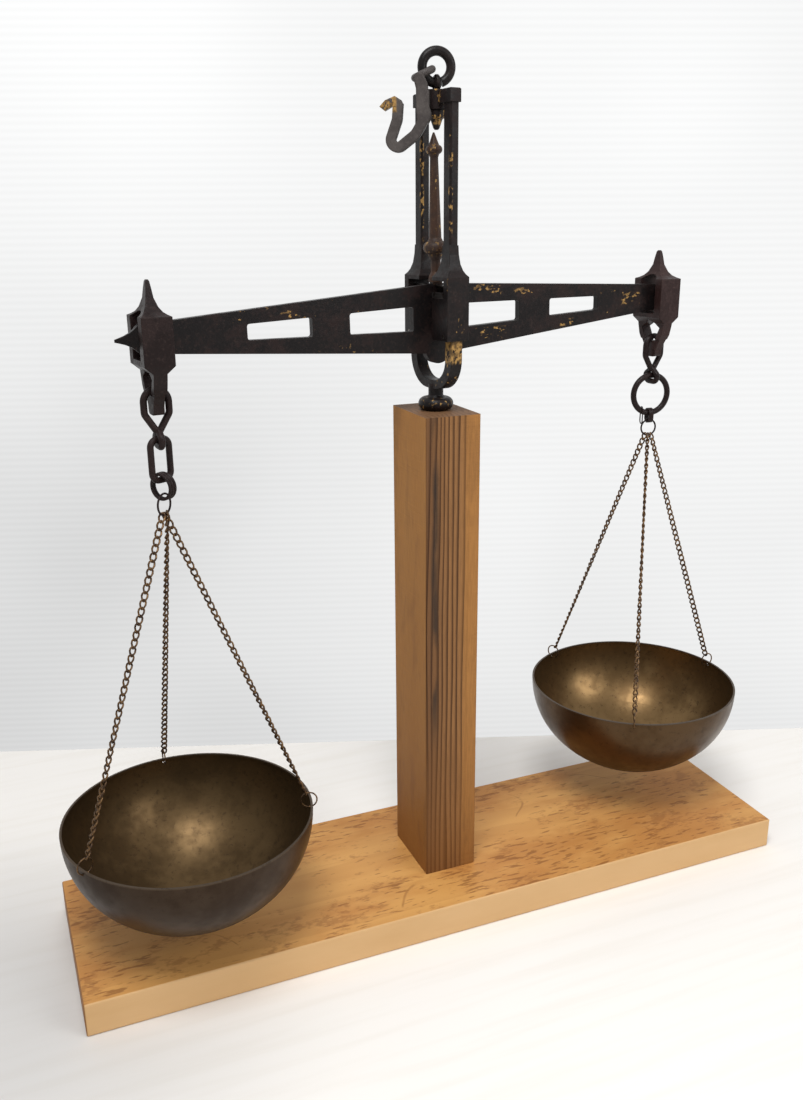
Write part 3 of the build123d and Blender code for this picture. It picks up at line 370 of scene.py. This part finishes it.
def make_iron(name, palette, radius=1.0 * MM, roughness=0.42, gilding=(), beam=False):
    """Old iron: dark skin, brown patches, specks, worn edges, and gold where gilding says.

    The palette is the dark skin, its brown patches and the bare edges. Each gilding is (middle,
    half size, amount), in millimetres; on the beam they are measured from the fulcrum along the
    beam.
    """
    dark, brown, edge = palette
    material, tree, shader, place = start_material(name, roughness=roughness, specular=IRON_SPECULAR)
    skin = patches(tree, place, 38.0, 0.42, 0.66, 0.5)
    colour = mix_colour(tree, skin, dark, brown)
    colour = paint(tree, colour, patches(tree, place, 330.0, 0.60, 0.70, 0.8), 0.45, edge)
    worn = use_group(tree, edges_group, {"Radius": radius, "Breakup": 0.8})
    colour = paint(tree, colour, worn["Mask"], IRON_WEAR, edge)
    if gilding:
        local = place
        if beam:
            inputs = {"Vector": place, "Location": FULCRUM, "Rotation": (0, REST_TILT, SCALE_TURN)}
            local = add(tree, "ShaderNodeMapping", inputs, vector_type="TEXTURE").outputs[0]
        gold = 0.0
        flecks = stretched(tree, local, (0.55, 1.0, 1.0) if beam else (1.0, 1.0, 0.6))
        for centre, half_size, amount in gilding:
            box = zone(tree, local, centre, half_size)
            inputs = {"Vector": flecks, "Zone": box, "Amount": amount}
            gold = calc(tree, "MAXIMUM", gold, use_group(tree, gilding_group, inputs)["Mask"])
        tone = mix_colour(tree, ramp(tree, noise(tree, place, 240.0), 0.4, 0.6), OLD_GOLD, GOLD)
        colour = mix_colour(tree, gold, colour, tone)
        tree.links.new(calc(tree, "MULTIPLY", gold, 0.4), shader.inputs["Metallic"])
    rough = ramp(tree, skin, 0.0, 1.0, roughness - 0.05, roughness + 0.12)
    tree.links.new(colour, shader.inputs["Base Color"])
    tree.links.new(rough, shader.inputs["Roughness"])
    sand = noise(tree, place, 420.0, 5.0)
    height = calc(tree, "MULTIPLY_ADD", noise(tree, place, 70.0, 2.0), 1.4, sand)
    bump(tree, shader, height, 0.3, 0.6 * MM, worn["Normal"])
    return material


STAND_GOLD = (
    ((8, -36, 606), (12, 10, 12), 1.0),
    ((4, -8, 585), (12, 40, 22), 0.22),
    ((4, 0, 552), (22, 22, 8), 0.42),
    ((3.9, -32, 790), (2.4, 2.6, 20), 0.55),
    ((3.9, -32, 746), (2.4, 2.6, 12), 0.80),
    ((3.9, -32, 715), (2.2, 2.4, 22), 0.30),
    ((-2.4, 19.7, 755), (2.4, 2.6, 50), 0.60),
    ((-3, -41.7, 668), (1.4, 1.4, 8), 0.8),
    ((11, -40, 632), (6, 2, 8), 0.45),
    ((2, -8, 836), (12, 8, 9), 0.36),
)
BEAM_GOLD = (
    ((52, -5, -1.5), (26, 6, 7), 0.42),
    ((62, -5, -45), (20, 6, 8), 0.42),
    ((158, -5, -39), (10, 6, 5), 0.52),
    ((108, -5, -5), (20, 6, 5), 0.30),
    ((222, -5, -9), (22, 6, 5), 0.46),
    ((244, -5, -20), (14, 6, 8), 0.50),
    ((216, -5, -32), (8, 6, 5), 0.42),
    ((-90, -5, -46), (45, 6, 8), 0.20),
    ((-150, -5, -8), (90, 6, 8), 0.18),
)
BLACK = ((0.0055, 0.0042, 0.0044), (0.0105, 0.0058, 0.0054), (0.034, 0.021, 0.018))
BEAM_BLACK = (BLACK[0], (0.0125, 0.0062, 0.0056), BLACK[2])
BROWN = ((0.0095, 0.0048, 0.0046), (0.0155, 0.0078, 0.0072), (0.040, 0.025, 0.022))
RIGHT_BROWN = ((0.020, 0.0098, 0.0092), (0.031, 0.0155, 0.0142), (0.060, 0.037, 0.033))

black_iron = make_iron("black_iron", BLACK, gilding=STAND_GOLD)
beam_iron = make_iron("beam_iron", BEAM_BLACK, gilding=BEAM_GOLD, beam=True)
brown_iron = make_iron("brown_iron", BROWN, radius=1.6 * MM)
right_iron = make_iron("right_iron", RIGHT_BROWN, radius=1.6 * MM)
print("irons made, with", len(STAND_GOLD) + len(BEAM_GOLD), "places for gold")

# %% [markdown]
# ## Hook, nut, pointer and steel
# The hook is grey forged iron with a brown, gilded beak. The nut is dark below and gold at its
# collar. The pointer is brown with some gold left on its two beads. The knife edges and their
# bearings are ground steel.

# %% Hook, nut, pointer and steel
HOOK_GREY = ((0.050, 0.043, 0.041), (0.070, 0.061, 0.057), (0.095, 0.082, 0.077))
POINTER_BROWN = ((0.045, 0.023, 0.015), (0.030, 0.018, 0.014), (0.11, 0.062, 0.032))
HOOK_GOLD = (((-41.5, 11, 829), (7.5, 10, 8), 0.85),)
NUT_GOLD = (((4, 0, 819), (12, 12, 8), 0.58),)
POINTER_GOLD = (
    ((4, 0, 702), (14, 14, 8), 0.55),
    ((4, 0, 789), (14, 14, 7), 0.42),
    ((4, 0, 745), (8, 8, 40), 0.25),
)


def make_steel():
    material, tree, shader, place = start_material("ground_steel", metallic=1.0, roughness=0.32)
    stain = patches(tree, place, 120.0, 0.5, 0.65)
    colour = mix_colour(tree, stain, (0.20, 0.19, 0.18), (0.07, 0.05, 0.04))
    tree.links.new(colour, shader.inputs["Base Color"])
    lines = noise(tree, stretched(tree, place, (60.0, 900.0, 60.0)), 1.0, 2.0)
    bump(tree, shader, lines, 0.2, 0.2 * MM)
    return material


hook_iron = make_iron("hook_iron", HOOK_GREY, radius=2.6 * MM, roughness=0.5, gilding=HOOK_GOLD)
nut_iron = make_iron("nut_iron", BLACK, gilding=NUT_GOLD)
pointer_iron = make_iron("pointer_iron", POINTER_BROWN, gilding=POINTER_GOLD)
ground_steel = make_steel()
print("hook, nut, pointer and steel made")

# %% [markdown]
# ## The post
# The post is a fir baulk whose growth rings run nearly flat to its side faces. They cross the front
# as dark upright lines 5 to 6 mm apart, on its left three quarters; the right quarter is plain and
# golden, and the side faces show only faint slanting saw marks. A grey-black streak runs down left
# of the middle, and the end grain on top is darker.

# %% Fir post
POST_HALF_DEPTH = 42.5 * MM
FIR_LEFT, FIR_MIDDLE, FIR_RIGHT = (0.150, 0.072, 0.031), (0.250, 0.122, 0.047), (0.335, 0.155, 0.046)
FIR_SIDE, FIR_SIDE_DARK = (0.395, 0.186, 0.046), (0.32, 0.135, 0.029)
FIR_END, FIR_END_DARK = (0.20, 0.105, 0.05), (0.13, 0.068, 0.034)


def fir_streak(tree, place, across, height):
    """Mask of the streak: it wanders, is broken, and fades out low down."""
    wave = noise(tree, stretched(tree, place, (0, 0, 1)), 9.0)
    wander = calc(tree, "MULTIPLY_ADD", wave, 8 * MM, across)
    away = calc(tree, "ABSOLUTE", calc(tree, "ADD", wander, 11.5 * MM))
    streak = ramp(tree, away, 6.0 * MM, 0.6 * MM)
    broken = ramp(tree, noise(tree, stretched(tree, place, (6, 6, 1)), 14.0, 4.0), 0.36, 0.60)
    high = ramp(tree, height, 0.16, 0.26)
    return calc(tree, "MULTIPLY", calc(tree, "MULTIPLY", streak, broken), high)


def make_fir():
    material, tree, shader, place = start_material("fir", roughness=0.6, specular=0.12)
    across, back, height = separate(tree, place)
    depth = calc(tree, "ABSOLUTE", back)
    front = ramp(tree, depth, POST_HALF_DEPTH - 1.6 * MM, POST_HALF_DEPTH - 0.4 * MM)
    tree_middle = add(tree, "ShaderNodeMapping", {"Vector": place, "Location": (0.95, 0.0, 0.0)})
    inputs = {"Vector": tree_middle.outputs[0], "Ring": 5.5 * MM, "Wobble": 0.026, "Sharpness": 0.36}
    grain = use_group(tree, grain_group, inputs)
    face = mix_colour(tree, ramp(tree, across, -0.024, 0.004), FIR_LEFT, FIR_MIDDLE)
    face = mix_colour(tree, ramp(tree, across, 0.010, 0.022), face, FIR_RIGHT)
    side = mix_colour(tree, noise(tree, stretched(tree, place, (1, 1, 0.2)), 30.0), FIR_SIDE, FIR_SIDE_DARK)
    colour = mix_colour(tree, front, side, face)
    lined = calc(tree, "MULTIPLY", ramp(tree, across, 0.024, 0.013), front)
    lines = calc(tree, "MULTIPLY", grain["Rings"], lined)
    colour = paint(tree, colour, lines, 0.92, (0.040, 0.016, 0.007))
    streak = calc(tree, "MULTIPLY", fir_streak(tree, place, across, height), front)
    colour = paint(tree, colour, streak, 0.85, (0.028, 0.022, 0.018))
    colour = paint(tree, colour, ramp(tree, grain["Fibre"], 0.35, 0.7), 0.22, (0.10, 0.045, 0.018))
    colour = paint(tree, colour, ramp(tree, height, 0.26, 0.05), 0.45, (0.20, 0.080, 0.020))
    clouds = patches(tree, stretched(tree, place, (1, 1, 0.25)), 40.0, 0.5, 0.66, 0.3)
    colour = paint(tree, colour, clouds, 0.25, (0.13, 0.060, 0.024))
    end = mix_colour(tree, noise(tree, place, 130.0, 4.0), FIR_END, FIR_END_DARK)
    end = paint(tree, end, grain["Rings"], 0.5, (0.06, 0.03, 0.016))
    upward = separate(tree, add(tree, "ShaderNodeNewGeometry").outputs["Normal"])[2]
    colour = mix_colour(tree, ramp(tree, upward, 0.5, 0.9), colour, end)
    tree.links.new(colour, shader.inputs["Base Color"])
    inputs = {"Vector": place, "Rotation": (0.6, 0.45, 0.0), "Scale": (8, 8, 420)}
    saw = noise(tree, add(tree, "ShaderNodeMapping", inputs).outputs[0], 1.0, 2.0)
    bump(tree, shader, calc(tree, "MULTIPLY_ADD", lines, -0.9, saw), 0.35, 0.8 * MM)
    return material


fir = make_fir()
print("post made")

# %% [markdown]
# ## The board
# The board is golden pine with its grain along its length. Its top is worn: short dark flecks along
# the grain, thicker in some places than in others and fewer at the right, thin curved scratches,
# and orange-brown clouds. Its front edge is planed, paler and smooth, and its ends are sawn and
# darker.

# %% Pine board
BOARD_HALF_LENGTH = 400 * MM
BOARD_HALF_DEPTH = 104 * MM
PINE_LIGHT, PINE_DARK = (0.67, 0.365, 0.115), (0.54, 0.255, 0.068)
PLANED_LIGHT, PLANED_DARK = (0.66, 0.43, 0.22), (0.56, 0.34, 0.15)
SAWN_LIGHT, SAWN_DARK = (0.30, 0.125, 0.030), (0.21, 0.082, 0.018)


def pine_flecks(tree, place, along):
    """Mask of the short dark flecks; where they crowd, less of the noise is left out."""
    crowd = noise(tree, stretched(tree, place, (0.6, 1, 1)), 9.0, 2.0)
    crowd = ramp(tree, crowd, 0.36, 0.64, 0.600, 0.485)
    crowd = calc(tree, "ADD", crowd, ramp(tree, along, 0.05, 0.25, 0.0, 0.035))
    fleck = noise(tree, stretched(tree, place, (0.20, 1.0, 1.0)), 270.0)
    return ramp(tree, calc(tree, "SUBTRACT", fleck, crowd), 0.05, 0.13)


def pine_scratches(tree, place):
    """Mask of thin curved scratches: the middle line of a broad noise, in some places only."""
    contour = calc(tree, "ABSOLUTE", calc(tree, "SUBTRACT", noise(tree, place, 7.0, 1.0), 0.5))
    kept = ramp(tree, noise(tree, place, 24.0, 2.0), 0.52, 0.60)
    return calc(tree, "MULTIPLY", ramp(tree, contour, 0.007, 0.001), kept)


def make_pine():
    material, tree, shader, place = start_material("pine", roughness=0.5, specular=0.15)
    along, deep, _ = separate(tree, place)
    front = ramp(tree, deep, -BOARD_HALF_DEPTH + 1.6 * MM, -BOARD_HALF_DEPTH + 0.6 * MM)
    from_middle = calc(tree, "ABSOLUTE", along)
    end = ramp(tree, from_middle, BOARD_HALF_LENGTH - 1.2 * MM, BOARD_HALF_LENGTH - 0.4 * MM)
    top = calc(tree, "SUBTRACT", 1.0, calc(tree, "MAXIMUM", front, end))
    inputs = {"Vector": place, "Rotation": (0, radians(90), 0), "Location": (0.12, 0.03, 0)}
    turned = add(tree, "ShaderNodeMapping", inputs).outputs[0]
    inputs = {"Vector": turned, "Ring": 11 * MM, "Wobble": 0.05, "Sharpness": 0.1}
    grain = use_group(tree, grain_group, inputs)
    long_way = stretched(tree, place, (0.22, 1.0, 1.0))
    colour = mix_colour(tree, noise(tree, long_way, 30.0, 4.0), PINE_LIGHT, PINE_DARK)
    clouds = patches(tree, stretched(tree, place, (0.45, 1.0, 1.0)), 11.0, 0.44, 0.68)
    clouds = calc(tree, "MULTIPLY", clouds, top)
    colour = paint(tree, colour, clouds, 0.55, (0.40, 0.145, 0.030))
    colour = paint(tree, colour, grain["Rings"], 0.22, (0.40, 0.17, 0.045))
    fleck = calc(tree, "MULTIPLY", pine_flecks(tree, place, along), top)
    colour = paint(tree, colour, fleck, 0.55, (0.16, 0.052, 0.014))
    bruise = patches(tree, stretched(tree, place, (0.55, 1.0, 1.0)), 42.0, 0.56, 0.72, 0.6)
    bruise = calc(tree, "MULTIPLY", bruise, top)
    colour = paint(tree, colour, bruise, 0.45, (0.25, 0.095, 0.028))
    scratch = calc(tree, "MULTIPLY", pine_scratches(tree, place), top)
    colour = paint(tree, colour, scratch, 0.45, (0.24, 0.090, 0.025))
    planed = mix_colour(tree, noise(tree, long_way, 40.0), PLANED_LIGHT, PLANED_DARK)
    colour = mix_colour(tree, front, colour, planed)
    saw = noise(tree, stretched(tree, place, (1, 1, 3)), 60.0)
    colour = mix_colour(tree, end, colour, mix_colour(tree, saw, SAWN_LIGHT, SAWN_DARK))
    worn = use_group(tree, edges_group, {"Radius": 2 * MM, "Breakup": 0.7})
    colour = paint(tree, colour, worn["Mask"], 0.35, (0.60, 0.36, 0.16))
    tree.links.new(colour, shader.inputs["Base Color"])
    dents = calc(tree, "MAXIMUM", fleck, scratch)
    relief = calc(tree, "MULTIPLY_ADD", dents, -1.0, grain["Fibre"])
    bump(tree, shader, relief, 0.25, 0.6 * MM, worn["Normal"])
    return material


pine = make_pine()
print("board made")

# %% [markdown]
# ## Brass
# The bowls are thin spun brass. Inside they are dark olive brown and still bright enough to hold soft
# highlights; outside they have gone grey brown, with a thin lighter line along the rim. The side of
# the wall is told from the surface's direction and its place: inside, the normal points at the
# bowl's axis.

# %% Brass
RIM_LIGHT = (0.080, 0.056, 0.037)
SPOT_BROWN = (0.03, 0.018, 0.010)


def make_bowl_brass(name, rim_middle, inner_colours, outer_colours, least_rough):
    """Brass of one bowl, from the middle of its rim and two colours for each side of its wall."""
    material, tree, shader, place = start_material(name, metallic=0.9)
    normal = add(tree, "ShaderNodeNewGeometry").outputs["Normal"]
    to_axis = vector_calc(tree, "SUBTRACT", tuple(rim_middle), place)
    facing = vector_calc(tree, "DOT_PRODUCT", to_axis, normal)
    inside = ramp(tree, facing, -2 * MM, 2 * MM)
    clouds = patches(tree, place, 16.0, 0.34, 0.68, 0.4)
    inner = mix_colour(tree, clouds, *inner_colours)
    outer = mix_colour(tree, clouds, *outer_colours)
    colour = mix_colour(tree, inside, outer, inner)
    height = separate(tree, place)[2]
    rim = ramp(tree, height, rim_middle.z - 1.5 * MM, rim_middle.z - 0.9 * MM)
    colour = mix_colour(tree, rim, colour, RIM_LIGHT)
    colour = paint(tree, colour, patches(tree, place, 190.0, 0.62, 0.70, 0.7), 0.5, SPOT_BROWN)
    tree.links.new(colour, shader.inputs["Base Color"])
    rough = calc(tree, "MULTIPLY_ADD", clouds, 0.12, least_rough)
    tree.links.new(rough, shader.inputs["Roughness"])
    dents = noise(tree, place, 55.0, 2.0)
    relief = calc(tree, "MULTIPLY_ADD", noise(tree, place, 500.0), 0.08, dents)
    bump(tree, shader, relief, 0.10, 1 * MM)
    return material


def make_chain_brass():
    material, tree, shader, place = start_material("chain_brass", metallic=0.7, roughness=0.42)
    dirt = patches(tree, place, 210.0, 0.42, 0.6, 0.6)
    colour = mix_colour(tree, dirt, (0.16, 0.088, 0.036), (0.045, 0.024, 0.013))
    tree.links.new(colour, shader.inputs["Base Color"])
    bump(tree, shader, noise(tree, place, 700.0), 0.2, 0.2 * MM)
    return material


def rim_centre(side):
    """Middle of a bowl's rim, from its node's box."""
    low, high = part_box(f"{side}_bowl")
    return Vector(((low.x + high.x) / 2, (low.y + high.y) / 2, high.z))


chain_brass = make_chain_brass()
left_bowl_brass = make_bowl_brass(
    "left_bowl_brass",
    rim_centre("left"),
    ((0.112, 0.070, 0.031), (0.066, 0.040, 0.017)),
    ((0.052, 0.034, 0.022), (0.037, 0.022, 0.013)),
    least_rough=0.40,
)
right_bowl_brass = make_bowl_brass(
    "right_bowl_brass",
    rim_centre("right"),
    ((0.185, 0.114, 0.049), (0.112, 0.066, 0.027)),
    ((0.088, 0.052, 0.025), (0.060, 0.032, 0.013)),
    least_rough=0.30,
)
print("left rim stands at", round(rim_centre("left").z, 4))

# %% [markdown]
# ## Dress the frame
# Each slot of the record gets its material, and a few nodes get one of their own. The CAD pieces
# stay as they are.

# %% Dress the nodes
SLOT_MATERIAL = {
    "pine": pine,
    "fir": fir,
    "steel_fastener": ground_steel,
    "hard_steel": ground_steel,
    "black_iron": black_iron,
    "gilt_iron": nut_iron,
    "grey_iron": hook_iron,
    "brown_iron": brown_iron,
    "chain_brass": chain_brass,
}
NODE_MATERIAL = {
    "beam": beam_iron,
    "pointer": pointer_iron,
    "right_shackle": right_iron,
    "left_bowl": left_bowl_brass,
    "right_bowl": right_bowl_brass,
}

for node_name, slot_name in SLOT_OF.items():
    mesh = NODES[node_name].data
    mesh.materials.clear()
    mesh.materials.append(NODE_MATERIAL.get(node_name) or SLOT_MATERIAL[slot_name])
print("dressed", len(SLOT_OF), "nodes")

# %% [markdown]
# ## Chains
# The bowls hang on curb chain: every link is twisted a quarter turn from end to end, so that links
# of one and the same direction lock into each other and the chain lies flat. One link is a circle
# stretched long, twisted, and given a round wire. Geometry Nodes put a copy at each step along a
# straight line, turn it to the line, and join them all into one mesh.

# %% One chain's node tree
LINK_PITCH = 7.2 * MM
LINK_LENGTH = 11.0 * MM
LINK_WIDTH = 7.3 * MM
LINK_WIRE = 1.9 * MM
LINK_SIDES = 12
WIRE_SIDES = 6
JITTER_SEED = 7


def make_link(tree, give):
    """One twisted link about the Z axis, as a smooth mesh."""
    wire_radius = calc(tree, "MULTIPLY", give["Wire"], 0.5)
    half_length = calc(tree, "MULTIPLY", give["Link Length"], 0.5)
    half_length = calc(tree, "SUBTRACT", half_length, wire_radius)
    half_width = calc(tree, "MULTIPLY", give["Link Width"], 0.5)
    half_width = calc(tree, "SUBTRACT", half_width, wire_radius)
    circle = "GeometryNodeCurvePrimitiveCircle"
    loop = add(tree, circle, {"Resolution": LINK_SIDES, "Radius": 1.0}).outputs[0]
    across, along, _ = separate(tree, add(tree, "GeometryNodeInputPosition").outputs[0])
    across = calc(tree, "MULTIPLY", across, half_width)
    twist = calc(tree, "MULTIPLY", along, pi / 4)
    parts = {
        0: calc(tree, "MULTIPLY", across, calc(tree, "COSINE", twist)),
        1: calc(tree, "MULTIPLY", across, calc(tree, "SINE", twist)),
        2: calc(tree, "MULTIPLY", along, half_length),
    }
    shaped = add(tree, "ShaderNodeCombineXYZ", parts).outputs[0]
    bent = add(tree, "GeometryNodeSetPosition", {"Geometry": loop, "Position": shaped}).outputs[0]
    section = add(tree, circle, {"Resolution": WIRE_SIDES, "Radius": wire_radius}).outputs[0]
    link = add(tree, "GeometryNodeCurveToMesh", {"Curve": bent, "Profile Curve": section}).outputs[0]
    return add(tree, "GeometryNodeSetShadeSmooth", {"Geometry": link}).outputs[0]


def make_chain_tree():
    inputs = (
        ("Top", "NodeSocketVector", None),
        ("Bottom", "NodeSocketVector", None),
        ("Links", "NodeSocketInt", 40),
        ("Roll", "NodeSocketFloat", 0.0),
        ("Twist", "NodeSocketFloat", 0.0),
        ("Unevenness", "NodeSocketFloat", 0.12),
        ("Link Length", "NodeSocketFloat", LINK_LENGTH),
        ("Link Width", "NodeSocketFloat", LINK_WIDTH),
        ("Wire", "NodeSocketFloat", LINK_WIRE),
        ("Material", "NodeSocketMaterial", None),
    )
    outputs = (("Geometry", "NodeSocketGeometry"),)
    tree, give, take = new_group("curb chain", inputs, outputs, "GeometryNodeTree")
    ends = {"Count": give["Links"], "Start Location": give["Top"], "Offset": give["Bottom"]}
    line = add(tree, "GeometryNodeMeshLine", ends, mode="END_POINTS").outputs[0]
    run = vector_calc(tree, "SUBTRACT", give["Bottom"], give["Top"])
    aim = add(tree, "FunctionNodeAlignRotationToVector", {"Vector": run}, axis="Z").outputs[0]
    share = calc(tree, "DIVIDE", add(tree, "GeometryNodeInputIndex").outputs[0], give["Links"])
    least = calc(tree, "MULTIPLY", give["Unevenness"], -1.0)
    draw = {2: least, 3: give["Unevenness"], "Seed": JITTER_SEED}
    jitter = add(tree, "FunctionNodeRandomValue", draw, data_type="FLOAT").outputs[1]
    roll = calc(tree, "ADD", give["Roll"], jitter)
    turn = calc(tree, "MULTIPLY_ADD", share, give["Twist"], roll)
    axis = {"Axis": (0.0, 0.0, 1.0), "Angle": turn}
    spin = add(tree, "FunctionNodeAxisAngleToRotation", axis).outputs[0]
    pair = {"Rotation": aim, "Rotate By": spin}
    rotation = add(tree, "FunctionNodeRotateRotation", pair, rotation_space="LOCAL").outputs[0]
    parts = {"Points": line, "Instance": make_link(tree, give), "Rotation": rotation}
    copies = add(tree, "GeometryNodeInstanceOnPoints", parts).outputs[0]
    real = add(tree, "GeometryNodeRealizeInstances", {0: copies}).outputs[0]
    finished = {"Geometry": real, "Material": give["Material"]}
    tree.links.new(add(tree, "GeometryNodeSetMaterial", finished).outputs[0], take["Geometry"])
    return tree


chain_tree = make_chain_tree()
print("chain tree has", len(chain_tree.nodes), "nodes")

# %% From the node tree to a plain piece
CHAIN_TWIST = 1.2
CHAIN_ROLL = {"left": 0.3, "right": 1.1}
ROLL_STEP = 0.9
END_REACH = 9 * MM


def grown(name, tree, values):
    """Run a geometry tree on an empty mesh and return its result as a plain object."""
    carrier = bpy.data.objects.new(name, bpy.data.meshes.new(name))
    bpy.context.scene.collection.objects.link(carrier)
    modifier = carrier.modifiers.new("grow", "NODES")
    modifier.node_group = tree
    for socket in tree.interface.items_tree:
        if socket.in_out == "INPUT" and socket.name in values:
            modifier[socket.identifier] = values[socket.name]
    bpy.context.view_layer.update()
    evaluated = carrier.evaluated_get(bpy.context.evaluated_depsgraph_get())
    mesh = bpy.data.meshes.new_from_object(evaluated)
    carrier.modifiers.clear()
    carrier.data = mesh
    return carrier


def chain_ends(node):
    """Middles of a chain node's first and last links, from its highest and lowest points."""
    points = [vertex.co.copy() for vertex in NODES[node].data.vertices]
    high = max(point.z for point in points)
    low = min(point.z for point in points)
    top = [point for point in points if point.z > high - END_REACH]
    bottom = [point for point in points if point.z < low + END_REACH]
    return sum(top, Vector()) / len(top), sum(bottom, Vector()) / len(bottom)


for side, roll in CHAIN_ROLL.items():
    for number in (1, 2, 3):
        node = f"{side}_chain_{number}"
        top, bottom = chain_ends(node)
        links = round((bottom - top).length / LINK_PITCH) + 1
        values = {
            "Top": top,
            "Bottom": bottom,
            "Links": links,
            "Roll": roll + ROLL_STEP * number,
            "Twist": CHAIN_TWIST,
            "Material": chain_brass,
        }
        chain = grown(f"{side}_curb_chain_{number}", chain_tree, values)
        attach(chain, BODY_OF[node])
        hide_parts(node)
        print(chain.name, links, "links,", len(chain.data.polygons), "faces")

# %% [markdown]
# ## Floor, backdrop and light
# The scale stands on a white table in front of a ribbed white wall. The table has a painted shade at
# the left. The wall is a glowing plane that only the camera and reflections see, so that it takes no
# light from the scale, and from behind it is clear. Its ribs and its greying low down and at the left are
# painted light and shade; the world's whiteness is a plain colour, and the lamps stay at a plain level.

# %% Stage
WALL_LEFT = Vector((-2.30, 1.181, 0))
WALL_RIGHT = Vector((3.10, -0.759, 0))
WALL_RISE = Vector((0, 0, 2.4))
WALL_COLOUR = (0.990, 0.994, 0.994, 1)
RIB_PITCH = 8.8 * MM
FLOOR_HALF_WIDTH = 6.0
TABLE_LIGHT, TABLE_DARK = (0.86, 0.835, 0.80), (0.83, 0.80, 0.755)
PAINTED_SHADE_MIDDLE = (-0.55, -0.08, 0.0)


def stage_plane(name, corners, material):
    """One flat piece of the stage."""
    mesh = bpy.data.meshes.new(name)
    mesh.from_pydata(corners, [], [(0, 1, 2, 3)])
    mesh.materials.append(material)
    plane = bpy.data.objects.new(name, mesh)
    bpy.context.scene.collection.objects.link(plane)
    return plane


def make_table_material():
    """White with faint streaks, and a painted shade that makes it greyer at the left, near the left bowl.
    """
    material, tree, shader, place = start_material("white_table", roughness=0.6, specular=0.3)
    inputs = {"Vector": place, "Scale": (4.0, 60.0, 1.0), "Rotation": (0, 0, 0.36)}
    streaks = noise(tree, add(tree, "ShaderNodeMapping", inputs).outputs[0], 1.0)
    colour = mix_colour(tree, ramp(tree, streaks, 0.4, 0.75), TABLE_LIGHT, TABLE_DARK)
    # Painted shade: the table turns grey towards a middle point left of the scale.
    away = vector_calc(tree, "DISTANCE", place, PAINTED_SHADE_MIDDLE)
    colour = mix_colour(tree, ramp(tree, away, 0.42, 0.06, 0.0, 0.42), colour, (0.25, 0.25, 0.26))
    tree.links.new(colour, shader.inputs["Base Color"])
    return material


def make_wall_material():
    """Glowing white with faint level ribs of painted light and shade, and painted shade that makes it a
    little greyer low down; clear from behind.
    """
    material = bpy.data.materials.new("white_wall")
    material.use_nodes = True
    tree = material.node_tree
    tree.nodes.remove(tree.nodes["Principled BSDF"])
    place = add(tree, "ShaderNodeTexCoord").outputs["Object"]
    across, _, height = separate(tree, place)
    # Painted light and shade: the ribs are level bands of brighter and dimmer glow.
    ribs = calc(tree, "SINE", calc(tree, "MULTIPLY", height, 2 * pi / RIB_PITCH))
    # Painted shade: the glow dims low down, up to a greater height at the left.
    left = ramp(tree, height, 0.25, 0.85, 0.735, 0.985)
    right = ramp(tree, height, -0.1, 0.55, 0.82, 0.985)
    rightward = ramp(tree, across, -0.35, 0.45)
    level = calc(tree, "MULTIPLY_ADD", calc(tree, "SUBTRACT", right, left), rightward, left)
    clouds = ramp(tree, noise(tree, place, 2.2, 1.0), 0.35, 0.7, -0.05, 0.02)
    strength = calc(tree, "MULTIPLY_ADD", ribs, 0.014, calc(tree, "ADD", level, clouds))
    glow = add(tree, "ShaderNodeEmission", {"Color": WALL_COLOUR, "Strength": strength})
    clear = add(tree, "ShaderNodeBsdfTransparent")
    behind = add(tree, "ShaderNodeNewGeometry").outputs["Backfacing"]
    mixed = add(tree, "ShaderNodeMixShader", {0: behind, 1: glow.outputs[0], 2: clear.outputs[0]})
    tree.links.new(mixed.outputs[0], tree.nodes["Material Output"].inputs["Surface"])
    return material


def make_stage():
    wide = FLOOR_HALF_WIDTH
    corners = ((-wide, -wide, 0), (wide, -wide, 0), (wide, wide, 0), (-wide, wide, 0))
    stage_plane("floor", corners, make_table_material())
    corners = (WALL_LEFT, WALL_RIGHT, WALL_RIGHT + WALL_RISE, WALL_LEFT + WALL_RISE)
    wall = stage_plane("wall", corners, make_wall_material())
    wall.visible_diffuse = False
    wall.visible_shadow = False


make_stage()
print("stage set")

# %% Light
WORLD_LIGHT = 0.58
WORLD_SEEN = 1.0
LAMPS = (
    ("key", (-0.55, -0.85, 2.3), (0, 0, 0.3), 0.8, 33),
    ("fill", (1.3, -1.7, 1.5), (0, 0, 0.4), 1.2, 19),
)


def make_world():
    """Soft white light from all round, and white where the camera sees past the floor."""
    world = bpy.data.worlds.new("studio")
    bpy.context.scene.world = world
    world.use_nodes = True
    tree = world.node_tree
    background = tree.nodes["Background"]
    path = add(tree, "ShaderNodeLightPath").outputs
    seen = calc(tree, "MAXIMUM", path["Is Camera Ray"], path["Is Transmission Ray"])
    strength = calc(tree, "MULTIPLY_ADD", seen, WORLD_SEEN - WORLD_LIGHT, WORLD_LIGHT)
    background.inputs["Color"].default_value = (1.0, 1.0, 1.0, 1)
    tree.links.new(strength, background.inputs["Strength"])


def make_lamp(name, place, target, size, power):
    """Square soft lamp aimed at a point."""
    data = bpy.data.lights.new(name, "AREA")
    data.shape = "SQUARE"
    data.size = size
    data.energy = power
    lamp = bpy.data.objects.new(name, data)
    bpy.context.scene.collection.objects.link(lamp)
    lamp.location = place
    lamp.rotation_euler = (Vector(target) - Vector(place)).to_track_quat("-Z", "Y").to_euler()


make_world()
for lamp_values in LAMPS:
    make_lamp(*lamp_values)
bpy.context.scene.view_settings.view_transform = "Standard"
print("lit")
